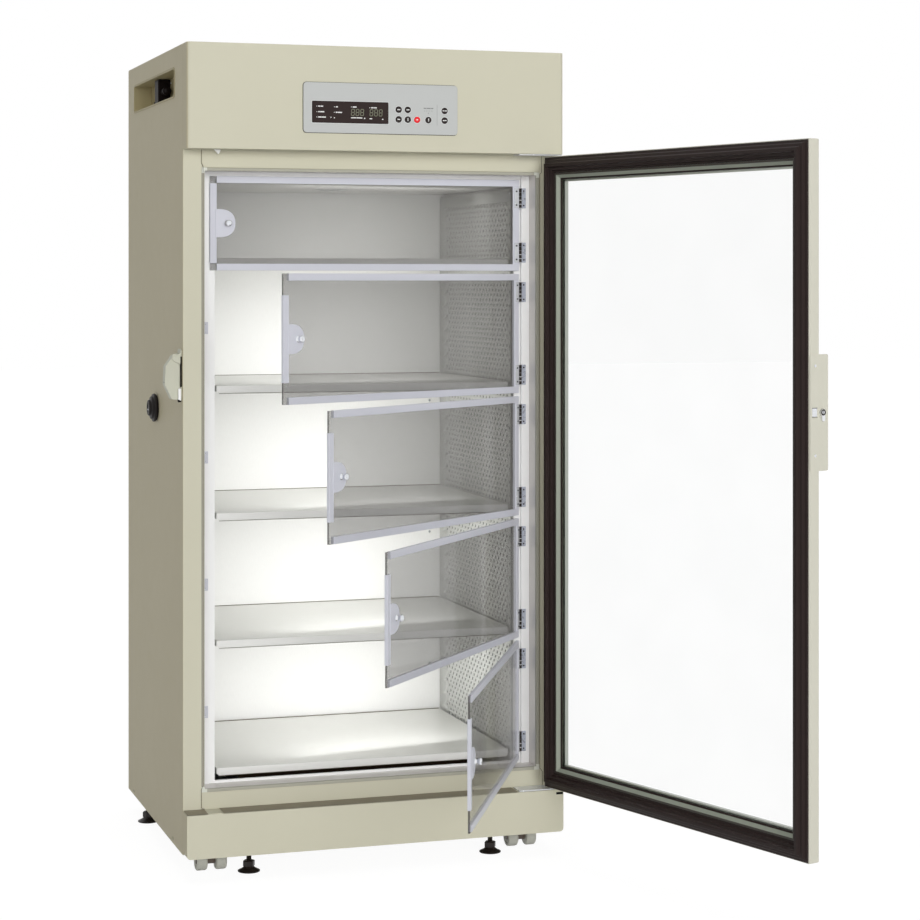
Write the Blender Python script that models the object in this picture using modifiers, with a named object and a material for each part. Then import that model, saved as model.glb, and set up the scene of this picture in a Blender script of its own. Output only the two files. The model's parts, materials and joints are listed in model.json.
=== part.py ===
"""Reach-in carbon dioxide incubator with a glazed outer door and five inner doors.

Axes: X to the right seen from the front, Y towards the back, Z up, in metres.
Cabinet pieces are measured from the centre of the door opening at floor level, with
Y = 0 on the plane of the front frame.  Each moving piece is measured from its own joint.
At the end the whole cabinet is moved so that the middle of its footprint is the origin.
"""

import math

import bmesh
import bpy
from mathutils import Matrix, Vector

# Cabinet
CABINET_WIDTH = 0.910
CABINET_DEPTH = 0.733
CABINET_TOP = 1.913
BASE_BOTTOM = 0.055
BASE_TOP = 0.155
HEADER_HEIGHT = 0.242
FRONT_OVERHANG = 0.050
SHEET = 0.0015
CLEARANCE = 0.0003
FLANGE_WIDTH = 0.0435
FLANGE_STEP = 0.0018
HEADER_RADIUS = 0.010
BASE_RADIUS = 0.007
BASE_CORNER = 0.009
BASE_PLATE_LIFT = 0.0075
BASE_PLATE = 0.003
REST_PAD_X = -0.3885
REST_PAD_SIZE = (0.033, 0.046, 0.0015)

# Door opening
SILL_HEIGHT = 0.040
HEAD_DROP = 0.041
BREAK_WIDTH = 0.007
BREAK_DEPTH = 0.010
THROAT_END = 0.060
INNER_RING_THICKNESS = 0.0072
INNER_RING_INSET = 0.036
INNER_RING_SILL = 0.0055
INNER_RING_HEAD = 0.019
PILLAR_WIDTH = 0.020

# Chamber
CHAMBER_HALF_WIDTH = 0.377
CHAMBER_BACK = 0.670
FLOOR_DROP = 0.023
CEILING_RISE = 0.025
INSULATION_DEPTH = 0.060
DUCT_OFFSET = 0.0105
DUCT_SHEET = 0.0012
DUCT_FRONT = 0.076
DUCT_BACK = 0.655
DUCT_LIFT = 0.010
FAN_SPACE = 0.057
DUCT_HEAD_GAP = 0.005
SLOT_PITCH = 0.0661
SLOT_SIZE = (0.010, 0.005)
SLOT_COLUMNS = (0.0850, 0.5900)

# Shelves
SHELF_COUNT = 5
SHELF_LIFT = 0.0605
TOP_SHELF_SPACE = 0.1755
SHELF_SHEET = 0.0012
SHELF_LIP = 0.0187
SHELF_FRONT = 0.080
SHELF_BACK = 0.640
SHELF_SIDE_GAP = 0.0062
SUPPORT_SIZE = (0.012, 0.020, 0.0015)
SUPPORT_POSITIONS = (0.140, 0.560)
PAN_HALF_WIDTH = 0.300
PAN_FRONT = 0.120
PAN_BACK = 0.560
PAN_HEIGHT = 0.033
PAN_SHEET = 0.0010

# Outer door, measured from its hinge pins
DOOR_PIVOT = (0.4375, -0.0365)
DOOR_WIDTH = 0.900
DOOR_BEYOND_PIVOT = 0.015
DOOR_GAP_BELOW = 0.004
DOOR_GAP_ABOVE = 0.005
DOOR_THICKNESS = 0.030
DOOR_OPEN_ANGLE = 107.5
DOOR_RADIUS = 0.004
GASKET_WIDTH = 0.040
GASKET_INSET = 0.002
GASKET_DEPTH = 0.0192
GASKET_SECTION = (
    (0.0, 0.0),
    (0.0, 0.16),
    (0.16, 0.21),
    (0.20, 0.50),
    (0.38, 0.62),
    (0.42, 0.98),
    (0.47, 1.0),
    (0.60, 1.0),
    (0.64, 0.97),
    (0.68, 0.60),
    (0.84, 0.50),
    (0.88, 0.20),
    (1.0, 0.15),
    (1.0, 0.0),
)
WINDOW_MARGIN = 0.054
WINDOW_CHAMFER = 0.003
GLAZING_MARGIN = 0.046
INNER_BEAD = 0.004
INNER_BEAD_RISE = (0.0025, 0.0035)
GLASS = 0.004
GLASS_GAP = 0.010
GLASS_LIP = 0.0032
PIN_RADIUS = 0.0045
PIN_REACH = 0.014
HINGE_PLATE = 0.0025
HINGE_PLATE_LEFT = 0.345
HINGE_PLATE_FRONT = 0.004
HINGE_PLATE_SIDE = 0.0025
GLASS_SPACER = 0.014
BREATHER_RADIUS = 0.0015
HANDLE_BOTTOM = 0.974
HANDLE_TOP = 1.217
HANDLE_PROUD = 0.022
HANDLE_PLATE = 0.002
HANDLE_WIDTH = 0.051
HANDLE_RADIUS = 0.004
LOCK_HEIGHT = 1.096
LOCK_RADIUS = 0.007
LOCK_OFFSET = 0.004
LOCK_PROUD = 0.005
LOCK_SLOT = (0.0016, 0.007)
LOCK_CAM = ((-0.004, -0.004), (0.004, -0.004), (0.003, -0.017), (-0.001, -0.019), (-0.005, -0.016))

# Inner doors, measured from their hinge pins
INNER_PIVOT = (0.3805, 0.049)
INNER_WIDTH = 0.7615
INNER_SILL = 0.0165
INNER_HEAD = 0.017
INNER_TOP_HEIGHT = 0.2195
INNER_GAP = 0.0075
INNER_OPEN_ANGLES = (63.1, 49.3, 38.4, 28.2, 0.0)
PANE = 0.005
PANE_OFFSET = 0.0045
STRIP_WIDTH = 0.016
STRIP_THICKNESS = 0.008
STRIP_OFFSET = 0.003
PIVOT_GAP = 0.002
LEAF_HEIGHT = 0.048
LEAF_INSET = 0.044
LEAF_WIDTH = 0.014
LEAF = 0.0017
KNUCKLE_RADIUS = 0.003
HANDLE_TAB_HALF_HEIGHT = 0.035
HANDLE_TAB_REACH = 0.048
HANDLE_TAB = 0.0025
TAB_GAP = 0.001
KNOB_RADIUS = 0.0075
KNOB_LENGTH = 0.015
KNOB_CROWN = 0.0015
KNOB_HEAD = 0.0055
KNOB_NECK = 0.0085

# Control panel, its heights measured from the underside of the header
FASCIA_CENTRE = (0.0015, 0.0985)
FASCIA_SIZE = (0.372, 0.116)
FASCIA_RADIUS = 0.008
FASCIA_THICKNESS = 0.0047
WINDOW_CENTRE = (-0.073, 0.0885)
WINDOW_SIZE = (0.184, 0.051)
WINDOW_RADIUS = 0.002
WINDOW_PROUD = 0.0004
KEY_RADIUS = 0.0075
KEY_CLEARANCE = 0.0004
KEY_PROUD = 0.0015
KEY_LENGTH = 0.0045
KEY_EDGE = 0.0006
KEY_PLACES = (
    (0.0435, 0.0975),
    (0.0657, 0.0975),
    (0.0435, 0.0747),
    (0.0657, 0.0747),
    (0.0884, 0.0747),
    (0.1160, 0.0747),
    (0.1557, 0.0970),
    (0.1557, 0.0743),
)

# Left side
RECESS_Y = (0.102, 0.640)
RECESS_HEIGHT = 0.063
RECESS_DROP = 0.050
RECESS_DEPTH = 0.045
RECESS_RADIUS = 0.008
RECESS_LIP = 0.005
RECESS_WALL = 0.0015
GAS_BLOCK_Y = 0.405
GAS_BLOCK_SIZE = (0.030, 0.046)
SPIGOT_RADIUS = 0.0075
SPIGOT_LENGTH = 0.052
COLLAR_RADIUS = 0.0105
COLLAR_SPAN = (0.032, 0.038)
ELBOW_RADIUS = 0.008
ELBOW_REACH = 0.050
DROP_RADIUS = 0.010
PORT_PLACE = (0.330, 1.062)
PORT_BORE = 0.022
PORT_TUBE = 0.0025
PORT_FLANGE = 0.030
PORT_FLANGE_THICKNESS = 0.003
CAP_RADIUS = 0.034
CAP_HEIGHT = 0.018
CAP_PLUG = 0.030
LATCH_Y = (0.008, 0.046)
LATCH_Z = (1.092, 1.213)
LATCH_PIVOT = (-0.470, 1.192)
LATCH_RADIUS = 0.006
LATCH_PLATE = 0.003
LATCH_EAR = 0.004
LATCH_EAR_RADIUS = 0.008
LATCH_EAR_SPAN = (0.014, 0.012)
LATCH_PIN = 0.0025
LATCH_PIN_FIT = 0.0004
LEVER_HEAD = 0.0075
LEVER_LENGTH = 0.096
LEVER_DEPTH = 0.024

# Air circulation
FAN_Y = 0.400
FAN_DROP = 0.006
FAN_RADIUS = 0.070
FAN_HEIGHT = 0.022
FAN_DISC = 0.002
FAN_HUB = 0.016
FAN_BLADES = 12
BLADE_THICKNESS = 0.0016
FAN_INLET = 0.042
FAN_SHAFT = 0.004
SHAFT_CLEARANCE = 0.004
MOTOR_RADIUS = 0.045
MOTOR_HEIGHT = 0.060
MOTOR_EDGE = 0.003

# Feet and casters
FOOT_PLACES = {
    "front_left": (-0.295, 0.025),
    "front_right": (0.295, 0.025),
    "rear_left": (-0.430, 0.585),
    "rear_right": (0.430, 0.585),
}
FOOT_PAD_RADIUS = 0.026
FOOT_PAD_RIM = 0.002
FOOT_PAD_SHOULDER = 0.005
FOOT_COLLAR = 0.014
FOOT_HEX_RADIUS = 0.012
FOOT_HEX_SPAN = (0.013, 0.026)
CASTER_X = 0.380
CASTER_FRONT_Y = 0.038
CASTER_REAR_Y = 0.630
CASTER_TRAIL = 0.014
WHEEL_RADIUS = 0.023
WHEEL_WIDTH = 0.025
WHEEL_GAP = 0.020
WHEEL_EDGE = 0.004
WHEEL_PLAY = 0.001
ARM_FRONT = 0.012
ARM_REAR = 0.010
ARM_TAPER = 0.004
ARM_NOSE = 0.014
ARM_EYE = 0.009
SWIVEL_RADIUS = 0.018
SWIVEL_HEIGHT = 0.0045
AXLE_HEIGHT = 0.0272
AXLE_RADIUS = 0.004
STEM_RADIUS = 0.006

# Derived sizes
HEADER_BOTTOM = CABINET_TOP - HEADER_HEIGHT
OPENING_BOTTOM = BASE_TOP + SILL_HEIGHT
OPENING_TOP = HEADER_BOTTOM - HEAD_DROP
DOOR_BOTTOM = BASE_TOP + DOOR_GAP_BELOW
DOOR_TOP = HEADER_BOTTOM - DOOR_GAP_ABOVE
CHAMBER_FLOOR = OPENING_BOTTOM - FLOOR_DROP
CHAMBER_CEILING = OPENING_TOP + CEILING_RISE
INSULATION_BOTTOM = CHAMBER_FLOOR - INSULATION_DEPTH
INSULATION_TOP = CHAMBER_CEILING + INSULATION_DEPTH
DUCT_BOTTOM = CHAMBER_FLOOR + DUCT_LIFT
CEILING_DUCT = CHAMBER_CEILING - FAN_SPACE
DUCT_TOP = CEILING_DUCT - DUCT_HEAD_GAP
SHELF_FIRST = CHAMBER_FLOOR + SHELF_LIFT
SHELF_PITCH = (CEILING_DUCT - TOP_SHELF_SPACE - SHELF_FIRST) / (SHELF_COUNT - 1)
INNER_FIRST = OPENING_BOTTOM + INNER_SILL
INNER_TOP = OPENING_TOP - INNER_HEAD
INNER_PITCH = (INNER_TOP - INNER_TOP_HEIGHT - INNER_FIRST) / (SHELF_COUNT - 1)
INNER_HEIGHT = INNER_PITCH - INNER_GAP
RECESS_TOP = CABINET_TOP - RECESS_DROP
RECESS_Z = (RECESS_TOP - RECESS_HEIGHT, RECESS_TOP)
HALF_WIDTH = CABINET_WIDTH / 2
INSIDE = HALF_WIDTH - SHEET - CLEARANCE
OPENING_HALF = HALF_WIDTH - FLANGE_WIDTH
FRAME_BACK = FLANGE_STEP + SHEET
THROAT_HALF = OPENING_HALF - CLEARANCE - BREAK_WIDTH
THROAT_BOTTOM = OPENING_BOTTOM + CLEARANCE + BREAK_WIDTH
THROAT_TOP = OPENING_TOP - CLEARANCE - BREAK_WIDTH
BASE_PLATE_BOTTOM = BASE_BOTTOM + BASE_PLATE_LIFT
DUCT_FACE = CHAMBER_HALF_WIDTH - DUCT_OFFSET
SHELF_HALF = DUCT_FACE - DUCT_SHEET / 2 - SHELF_SIDE_GAP
DOOR_LEFT = DOOR_BEYOND_PIVOT - DOOR_WIDTH
DOOR_FRONT = -FRONT_OVERHANG - DOOR_PIVOT[1]
DOOR_BACK = DOOR_FRONT + DOOR_THICKNESS
FASCIA_BACK = -FRONT_OVERHANG - CLEARANCE
FASCIA_FRONT = FASCIA_BACK - FASCIA_THICKNESS
ROUND_STEPS = 4


def clear_scene():
    """Remove the objects that a new file starts with."""
    for item in list(bpy.data.objects):
        bpy.data.objects.remove(item)


def make_collection(name):
    group = bpy.data.collections.new(name)
    bpy.context.scene.collection.children.link(group)
    return group


clear_scene()
PARTS = make_collection("incubator")
CUTTERS = make_collection("cutters")
MATERIALS = {}


def material(name, colour, roughness, metallic=0.0, alpha=1.0):
    """One Principled material, made once and shared by its name."""
    if name in MATERIALS:
        return MATERIALS[name]
    made = bpy.data.materials.new(name)
    made.use_nodes = True
    shader = made.node_tree.nodes["Principled BSDF"]
    shader.inputs["Base Color"].default_value = (*colour, 1.0)
    shader.inputs["Roughness"].default_value = roughness
    shader.inputs["Metallic"].default_value = metallic
    shader.inputs["Alpha"].default_value = alpha
    made.diffuse_color = (*colour, alpha)
    MATERIALS[name] = made
    return made


def beige_paint():
    return material("beige_paint", (0.63, 0.61, 0.49), 0.45)


def white_plastic():
    return material("white_plastic", (0.86, 0.86, 0.84), 0.40)


def grey_plastic():
    return material("grey_plastic", (0.55, 0.57, 0.56), 0.45)


def black_plastic():
    return material("black_plastic", (0.02, 0.02, 0.02), 0.45)


def black_rubber():
    return material("black_rubber", (0.03, 0.02, 0.02), 0.70)


def stainless():
    return material("stainless", (0.75, 0.75, 0.74), 0.28, 1.0)


def chrome():
    return material("chrome", (0.85, 0.85, 0.86), 0.10, 1.0)


def smoked_acrylic():
    return material("smoked_acrylic", (0.42, 0.41, 0.40), 0.08, 0.0, 0.5)


def clear_glass():
    return material("clear_glass", (0.80, 0.88, 0.84), 0.03, 0.0, 0.2)


def foam():
    return material("foam", (0.85, 0.80, 0.60), 0.90)


def caster_grey():
    return material("caster_grey", (0.50, 0.50, 0.46), 0.55)


def red_plastic():
    return material("red_plastic", (0.75, 0.01, 0.02), 0.35)


def empty(name, place, parent=None, turn=0.0):
    """A joint or root marker, turned about Z by an angle in degrees."""
    marker = bpy.data.objects.new(name, None)
    marker.empty_display_size = 0.03
    marker.location = place
    marker.rotation_euler.z = math.radians(turn)
    marker.parent = parent
    PARTS.objects.link(marker)
    return marker


ROOT = empty("cabinet_root", (0.0, 0.0, 0.0))


def put_in_scene(name, mesh_data, finish, frame):
    """A piece of the product when it has a finish, or a cutter when it has none."""
    made = bpy.data.objects.new(name, mesh_data)
    made.parent = frame
    if finish is None:
        made.display_type = "WIRE"
        made.hide_render = True
        CUTTERS.objects.link(made)
    else:
        mesh_data.materials.append(finish)
        PARTS.objects.link(made)
    return made


def from_bmesh(name, shape, finish, frame, smooth=False):
    bmesh.ops.recalc_face_normals(shape, faces=shape.faces)
    mesh_data = bpy.data.meshes.new(name)
    shape.to_mesh(mesh_data)
    shape.free()
    if smooth:
        mesh_data.shade_smooth()
        mesh_data.set_sharp_from_angle(angle=math.radians(40))
    return put_in_scene(name, mesh_data, finish, frame)


def block(name, low, high, finish=None, frame=ROOT):
    """A box between two corners."""
    shape = bmesh.new()
    bmesh.ops.create_cube(shape, size=1.0)
    size = Vector(high) - Vector(low)
    middle = (Vector(high) + Vector(low)) / 2
    bmesh.ops.scale(shape, vec=size, verts=shape.verts)
    bmesh.ops.translate(shape, vec=middle, verts=shape.verts)
    return from_bmesh(name, shape, finish, frame)


def place_point(axis, first, second, along):
    """A point from two coordinates across an axis and one along it."""
    if axis == "X":
        return (along, first, second)
    if axis == "Y":
        return (first, along, second)
    return (first, second, along)


def prism(name, outline, axis, start, stop, finish=None, frame=ROOT):
    """A flat outline carried along X, Y or Z."""
    shape = bmesh.new()
    corners = [shape.verts.new(place_point(axis, a, b, start)) for a, b in outline]
    face = shape.faces.new(corners)
    made = bmesh.ops.extrude_face_region(shape, geom=[face])
    moved = [item for item in made["geom"] if isinstance(item, bmesh.types.BMVert)]
    step = Vector(place_point(axis, 0.0, 0.0, stop - start))
    bmesh.ops.translate(shape, vec=step, verts=moved)
    return from_bmesh(name, shape, finish, frame)


def cylinder(name, centre, axis, radius, start, stop, sides=24, finish=None, frame=ROOT):
    """A round bar along X, Y or Z; centre gives the two coordinates across the axis."""
    shape = bmesh.new()
    bmesh.ops.create_cone(
        shape, cap_ends=True, segments=sides, radius1=radius, radius2=radius, depth=stop - start
    )
    turns = {"X": Matrix.Rotation(math.pi / 2, 3, "Y"), "Y": Matrix.Rotation(-math.pi / 2, 3, "X")}
    if axis in turns:
        bmesh.ops.rotate(shape, matrix=turns[axis], verts=shape.verts)
    middle = Vector(place_point(axis, centre[0], centre[1], (start + stop) / 2))
    bmesh.ops.translate(shape, vec=middle, verts=shape.verts)
    return from_bmesh(name, shape, finish, frame, smooth=True)


def arc(centre, radius, start, stop, steps=ROUND_STEPS):
    """Points along an arc, angles in degrees."""
    points = []
    for step in range(steps + 1):
        angle = math.radians(start + (stop - start) * step / steps)
        points.append((centre[0] + radius * math.cos(angle), centre[1] + radius * math.sin(angle)))
    return points


def rounded_rectangle(low, high, radius, steps=ROUND_STEPS):
    """The outline of a rectangle with round corners, anticlockwise."""
    outline = arc((low[0] + radius, low[1] + radius), radius, 180, 270, steps)
    outline += arc((high[0] - radius, low[1] + radius), radius, 270, 360, steps)
    outline += arc((high[0] - radius, high[1] - radius), radius, 0, 90, steps)
    outline += arc((low[0] + radius, high[1] - radius), radius, 90, 180, steps)
    return outline


def folded_sheet(name, path, thickness, bottom, top, finish, frame=ROOT):
    """A sheet bent along a path in plan; its outer face is on the right of the path."""
    shape = bmesh.new()
    lower = [shape.verts.new((x, y, bottom)) for x, y in path]
    upper = [shape.verts.new((x, y, top)) for x, y in path]
    for index in range(len(path) - 1):
        shape.faces.new((lower[index], lower[index + 1], upper[index + 1], upper[index]))
    mesh_data = bpy.data.meshes.new(name)
    shape.to_mesh(mesh_data)
    shape.free()
    made = put_in_scene(name, mesh_data, finish, frame)
    skin = made.modifiers.new("sheet", "SOLIDIFY")
    skin.thickness = thickness
    skin.offset = -1.0
    skin.use_even_offset = True
    return made


def turned(name, profile, place, turn, finish, frame=ROOT, steps=20):
    """A profile of (radius, height) points, top to bottom, turned about its own Z axis."""
    mesh_data = bpy.data.meshes.new(name)
    points = [(radius, 0.0, height) for radius, height in profile]
    links = [(index, index + 1) for index in range(len(profile) - 1)]
    mesh_data.from_pydata(points, links, [])
    made = put_in_scene(name, mesh_data, finish, frame)
    made.location = place
    made.rotation_euler = turn
    screw = made.modifiers.new("turn", "SCREW")
    screw.axis = "Z"
    screw.steps = steps
    screw.render_steps = steps
    screw.use_merge_vertices = True
    screw.merge_threshold = 0.00005
    screw.use_smooth_shade = True
    return made


def mitred_frame(name, low, high, profile, finish, frame=ROOT):
    """A frame in the XZ plane whose section is a list of (inset from the edge, Y) points."""
    shape = bmesh.new()
    rings = []
    for inset, depth in profile:
        left = low[0] + inset
        right = high[0] - inset
        bottom = low[1] + inset
        top = high[1] - inset
        corners = ((left, bottom), (right, bottom), (right, top), (left, top))
        rings.append([shape.verts.new((x, depth, z)) for x, z in corners])
    for index, ring in enumerate(rings):
        following = rings[(index + 1) % len(rings)]
        for corner in range(4):
            other = (corner + 1) % 4
            shape.faces.new((ring[corner], ring[other], following[other], following[corner]))
    return from_bmesh(name, shape, finish, frame)


def combine(target, other, operation):
    change = target.modifiers.new(operation.lower(), "BOOLEAN")
    change.operation = operation
    change.solver = "EXACT"
    change.object = other
    return target


def cut(target, *cutters):
    for cutter in cutters:
        combine(target, cutter, "DIFFERENCE")
    return target


def join(target, *others):
    for other in others:
        combine(target, other, "UNION")
    return target


def bevel(target, width, segments=2, angle=50):
    edge = target.modifiers.new("edges", "BEVEL")
    edge.width = width
    edge.segments = segments
    edge.limit_method = "ANGLE"
    edge.angle_limit = math.radians(angle)
    return target


def bevel_vertical_front(target, front, width, segments):
    """Round the two upright edges on the front face of a box by weight."""
    weight = target.data.attributes.new("bevel_weight_edge", "FLOAT", "EDGE")
    for edge in target.data.edges:
        ends = [target.data.vertices[index].co for index in edge.vertices]
        upright = abs(ends[0].z - ends[1].z) > width
        forward = all(abs(end.y - front) < CLEARANCE for end in ends)
        weight.data[edge.index].value = 1.0 if upright and forward else 0.0
    edge = target.modifiers.new("upright_edges", "BEVEL")
    edge.width = width
    edge.segments = segments
    edge.limit_method = "WEIGHT"
    return target


def side_panel(name, side):
    """An outer side sheet with its return flange round the front corner."""
    outer = side * HALF_WIDTH
    bend = SHEET * 1.5
    corner = (outer - side * bend, bend)
    start, stop = (180, 270) if side < 0 else (270, 360)
    curve = arc(corner, bend, start, stop, 3)
    flange_end = (side * OPENING_HALF, 0.0)
    rear = (outer, CABINET_DEPTH)
    path = [rear] + curve + [flange_end] if side < 0 else [flange_end] + curve + [rear]
    return folded_sheet(name, path, SHEET, BASE_BOTTOM, CABINET_TOP - SHEET - CLEARANCE, beige_paint())


def left_side():
    panel = side_panel("left_side_panel", -1)
    lip = RECESS_WALL + CLEARANCE
    low = (RECESS_Y[0] - lip, RECESS_Z[0] - lip)
    high = (RECESS_Y[1] + lip, RECESS_Z[1] + lip)
    window = rounded_rectangle(low, high, RECESS_RADIUS + lip)
    reach = SHEET * 3
    opening = prism("recess_opening", window, "X", -HALF_WIDTH - reach, -HALF_WIDTH + reach)
    port = cylinder(
        "port_opening", PORT_PLACE, "X", PORT_BORE + PORT_TUBE + CLEARANCE,
        -HALF_WIDTH - reach, -HALF_WIDTH + reach,
    )
    cut(panel, opening, port)


def back_panel():
    block(
        "back_panel",
        (-INSIDE, CABINET_DEPTH - SHEET, BASE_BOTTOM),
        (INSIDE, CABINET_DEPTH, CABINET_TOP - SHEET - CLEARANCE),
        beige_paint(),
    )


def header_cover():
    """The control housing: a folded front cover that runs on as the roof."""
    cover = block(
        "header_cover",
        (-HALF_WIDTH, -FRONT_OVERHANG, HEADER_BOTTOM),
        (HALF_WIDTH, -CLEARANCE, CABINET_TOP),
        beige_paint(),
    )
    bevel_vertical_front(cover, -FRONT_OVERHANG, HEADER_RADIUS, 4)
    hollow = block(
        "header_hollow",
        (-HALF_WIDTH + SHEET, -FRONT_OVERHANG + SHEET, HEADER_BOTTOM + SHEET),
        (HALF_WIDTH - SHEET, FRONT_OVERHANG, CABINET_TOP - SHEET),
    )
    bevel_vertical_front(hollow, -FRONT_OVERHANG + SHEET, HEADER_RADIUS - SHEET, 4)
    roof = block(
        "header_roof",
        (-HALF_WIDTH, -FRONT_OVERHANG / 2, CABINET_TOP - SHEET),
        (HALF_WIDTH, CABINET_DEPTH, CABINET_TOP),
    )
    join(cut(cover, hollow), roof)


def base_plinth():
    """The front cover of the base, its floor plate and the rear caster brackets."""
    corner_x = HALF_WIDTH - BASE_CORNER
    corner_z = BASE_BOTTOM + BASE_CORNER
    outline = arc((-corner_x, corner_z), BASE_CORNER, 180, 270)
    outline += arc((corner_x, corner_z), BASE_CORNER, 270, 360)
    outline += [(HALF_WIDTH, BASE_TOP), (-HALF_WIDTH, BASE_TOP)]
    plinth = prism("base_plinth", outline, "Y", -FRONT_OVERHANG, -CLEARANCE, beige_paint())
    bevel_vertical_front(plinth, -FRONT_OVERHANG, BASE_RADIUS, 3)
    hollow = block(
        "base_hollow",
        (-HALF_WIDTH + SHEET, -FRONT_OVERHANG + SHEET, BASE_BOTTOM - SHEET),
        (HALF_WIDTH - SHEET, FRONT_OVERHANG, BASE_TOP - SHEET),
    )
    bevel_vertical_front(hollow, -FRONT_OVERHANG + SHEET, BASE_RADIUS - SHEET, 3)
    behind = SHEET + CLEARANCE
    rear = CABINET_DEPTH - SHEET - CLEARANCE
    tongue = OPENING_HALF - CLEARANCE
    front = -FRONT_OVERHANG + SHEET / 2
    outline = [
        (-INSIDE, behind), (-tongue, behind), (-tongue, front), (tongue, front),
        (tongue, behind), (INSIDE, behind), (INSIDE, rear), (-INSIDE, rear),
    ]
    floor = prism("base_floor", outline, "Z", BASE_PLATE_BOTTOM, BASE_PLATE_BOTTOM + BASE_PLATE)
    pad_width, pad_depth, pad_height = REST_PAD_SIZE
    low = (REST_PAD_X - pad_width / 2, -FRONT_OVERHANG / 2 - pad_depth / 2, BASE_TOP - SHEET / 2)
    high = (low[0] + pad_width, low[1] + pad_depth, BASE_TOP + pad_height)
    rest_pad = block("door_rest_pad", low, high)
    join(cut(plinth, hollow), floor, rest_pad)
    for side in (-1, 1):
        place = (side * CASTER_X, CASTER_REAR_Y)
        join(plinth, caster_arm(f"rear_arm_{side}", place, BASE_PLATE_BOTTOM, None, ROOT))


def caster_arm(name, place, top, finish, frame):
    """The web between a pair of caster wheels, bored for the axle that joins them."""
    half = WHEEL_GAP / 2 - WHEEL_PLAY
    front = place[1] - ARM_FRONT
    rear = place[1] + CASTER_TRAIL + ARM_REAR
    axle_y = place[1] + CASTER_TRAIL
    outline = [(front, top + SHEET / 2), (front + ARM_TAPER, top - ARM_NOSE)]
    outline += arc((axle_y, AXLE_HEIGHT), ARM_EYE, 215, 340, 5)
    outline += [(rear + ARM_TAPER, top + SHEET / 2)]
    arm = prism(name, outline, "X", place[0] - half, place[0] + half, finish, frame)
    bore = cylinder(
        f"{name}_bore", (axle_y, AXLE_HEIGHT), "X", AXLE_RADIUS + CLEARANCE,
        place[0] - WHEEL_GAP, place[0] + WHEEL_GAP, 16, None, frame,
    )
    return cut(arm, bore)


def caster_wheels(name, frame):
    """Two wheels on one axle, which turns in the web between them."""
    half = WHEEL_GAP / 2
    outer = half + WHEEL_WIDTH
    seat = half + SHEET
    hub = (0.0, 0.0)
    wheels = cylinder(name, hub, "X", WHEEL_RADIUS, -outer, outer, 20, caster_grey(), frame)
    groove = cylinder(f"{name}_groove", hub, "X", WHEEL_RADIUS * 2, -half, half, 20, None, frame)
    axle = cylinder(f"{name}_axle", hub, "X", AXLE_RADIUS, -seat, seat, 16, None, frame)
    return join(cut(bevel(wheels, WHEEL_EDGE, 1), groove), axle)


def front_frame():
    """The plate with the door opening, behind the flanges of the side panels."""
    plate = block(
        "front_frame",
        (-INSIDE, FLANGE_STEP, BASE_TOP + CLEARANCE),
        (INSIDE, FRAME_BACK, HEADER_BOTTOM + FRONT_OVERHANG),
        beige_paint(),
    )
    opening = block(
        "frame_opening",
        (-OPENING_HALF, -FRONT_OVERHANG, OPENING_BOTTOM),
        (OPENING_HALF, FRONT_OVERHANG, OPENING_TOP),
    )
    cut(plate, opening)


def ring(name, half, bottom, top, width, front, back, finish):
    """A rectangular frame round an opening, its section a plain rectangle."""
    low = (-half - width, bottom - width)
    high = (half + width, top + width)
    profile = [(0.0, front), (width, front), (width, back), (0.0, back)]
    return mitred_frame(name, low, high, profile, finish)


def thermal_break():
    ring(
        "thermal_break", THROAT_HALF, THROAT_BOTTOM, THROAT_TOP, BREAK_WIDTH,
        0.0, BREAK_DEPTH, grey_plastic(),
    )


def door_throat():
    ring(
        "door_throat", THROAT_HALF, THROAT_BOTTOM, THROAT_TOP, SHEET,
        BREAK_DEPTH + CLEARANCE, THROAT_END, stainless(),
    )


def leaf_heights(bottom, top):
    return (bottom + LEAF_INSET, top - LEAF_INSET)


def inner_door_span(index):
    """Bottom and top of an inner door; the last one is the shorter top door."""
    bottom = INNER_FIRST + INNER_PITCH * index
    top = INNER_TOP if index == SHELF_COUNT - 1 else bottom + INNER_HEIGHT
    return bottom, top


def inner_door_frame():
    """The ring that the inner doors close on, with a pillar that carries their hinges."""
    front = THROAT_END + CLEARANCE
    half = THROAT_HALF + SHEET - CLEARANCE
    plate = block(
        "inner_door_frame",
        (-half, front, THROAT_BOTTOM - SHEET),
        (half, front + INNER_RING_THICKNESS, THROAT_TOP + SHEET),
        white_plastic(),
    )
    opening = block(
        "inner_opening",
        (-THROAT_HALF + INNER_RING_INSET, 0.0, THROAT_BOTTOM + INNER_RING_SILL),
        (THROAT_HALF - INNER_RING_INSET, FRONT_OVERHANG * 2, THROAT_TOP - INNER_RING_HEAD),
    )
    cut(plate, opening)
    pillar_front = INNER_PIVOT[1] + STRIP_OFFSET
    for side in (-1, 1):
        inner = side * (THROAT_HALF - CLEARANCE - PILLAR_WIDTH)
        outer = side * (THROAT_HALF - CLEARANCE)
        pillar = block(
            f"pillar_{side}",
            (min(inner, outer), pillar_front, THROAT_BOTTOM + CLEARANCE),
            (max(inner, outer), front + INNER_RING_THICKNESS / 2, THROAT_TOP - CLEARANCE),
        )
        join(plate, pillar)
    for index in range(SHELF_COUNT):
        for number, height in enumerate(leaf_heights(*inner_door_span(index))):
            join(plate, *fixed_leaf(f"fixed_leaf_{index}_{number}", height))


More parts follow.
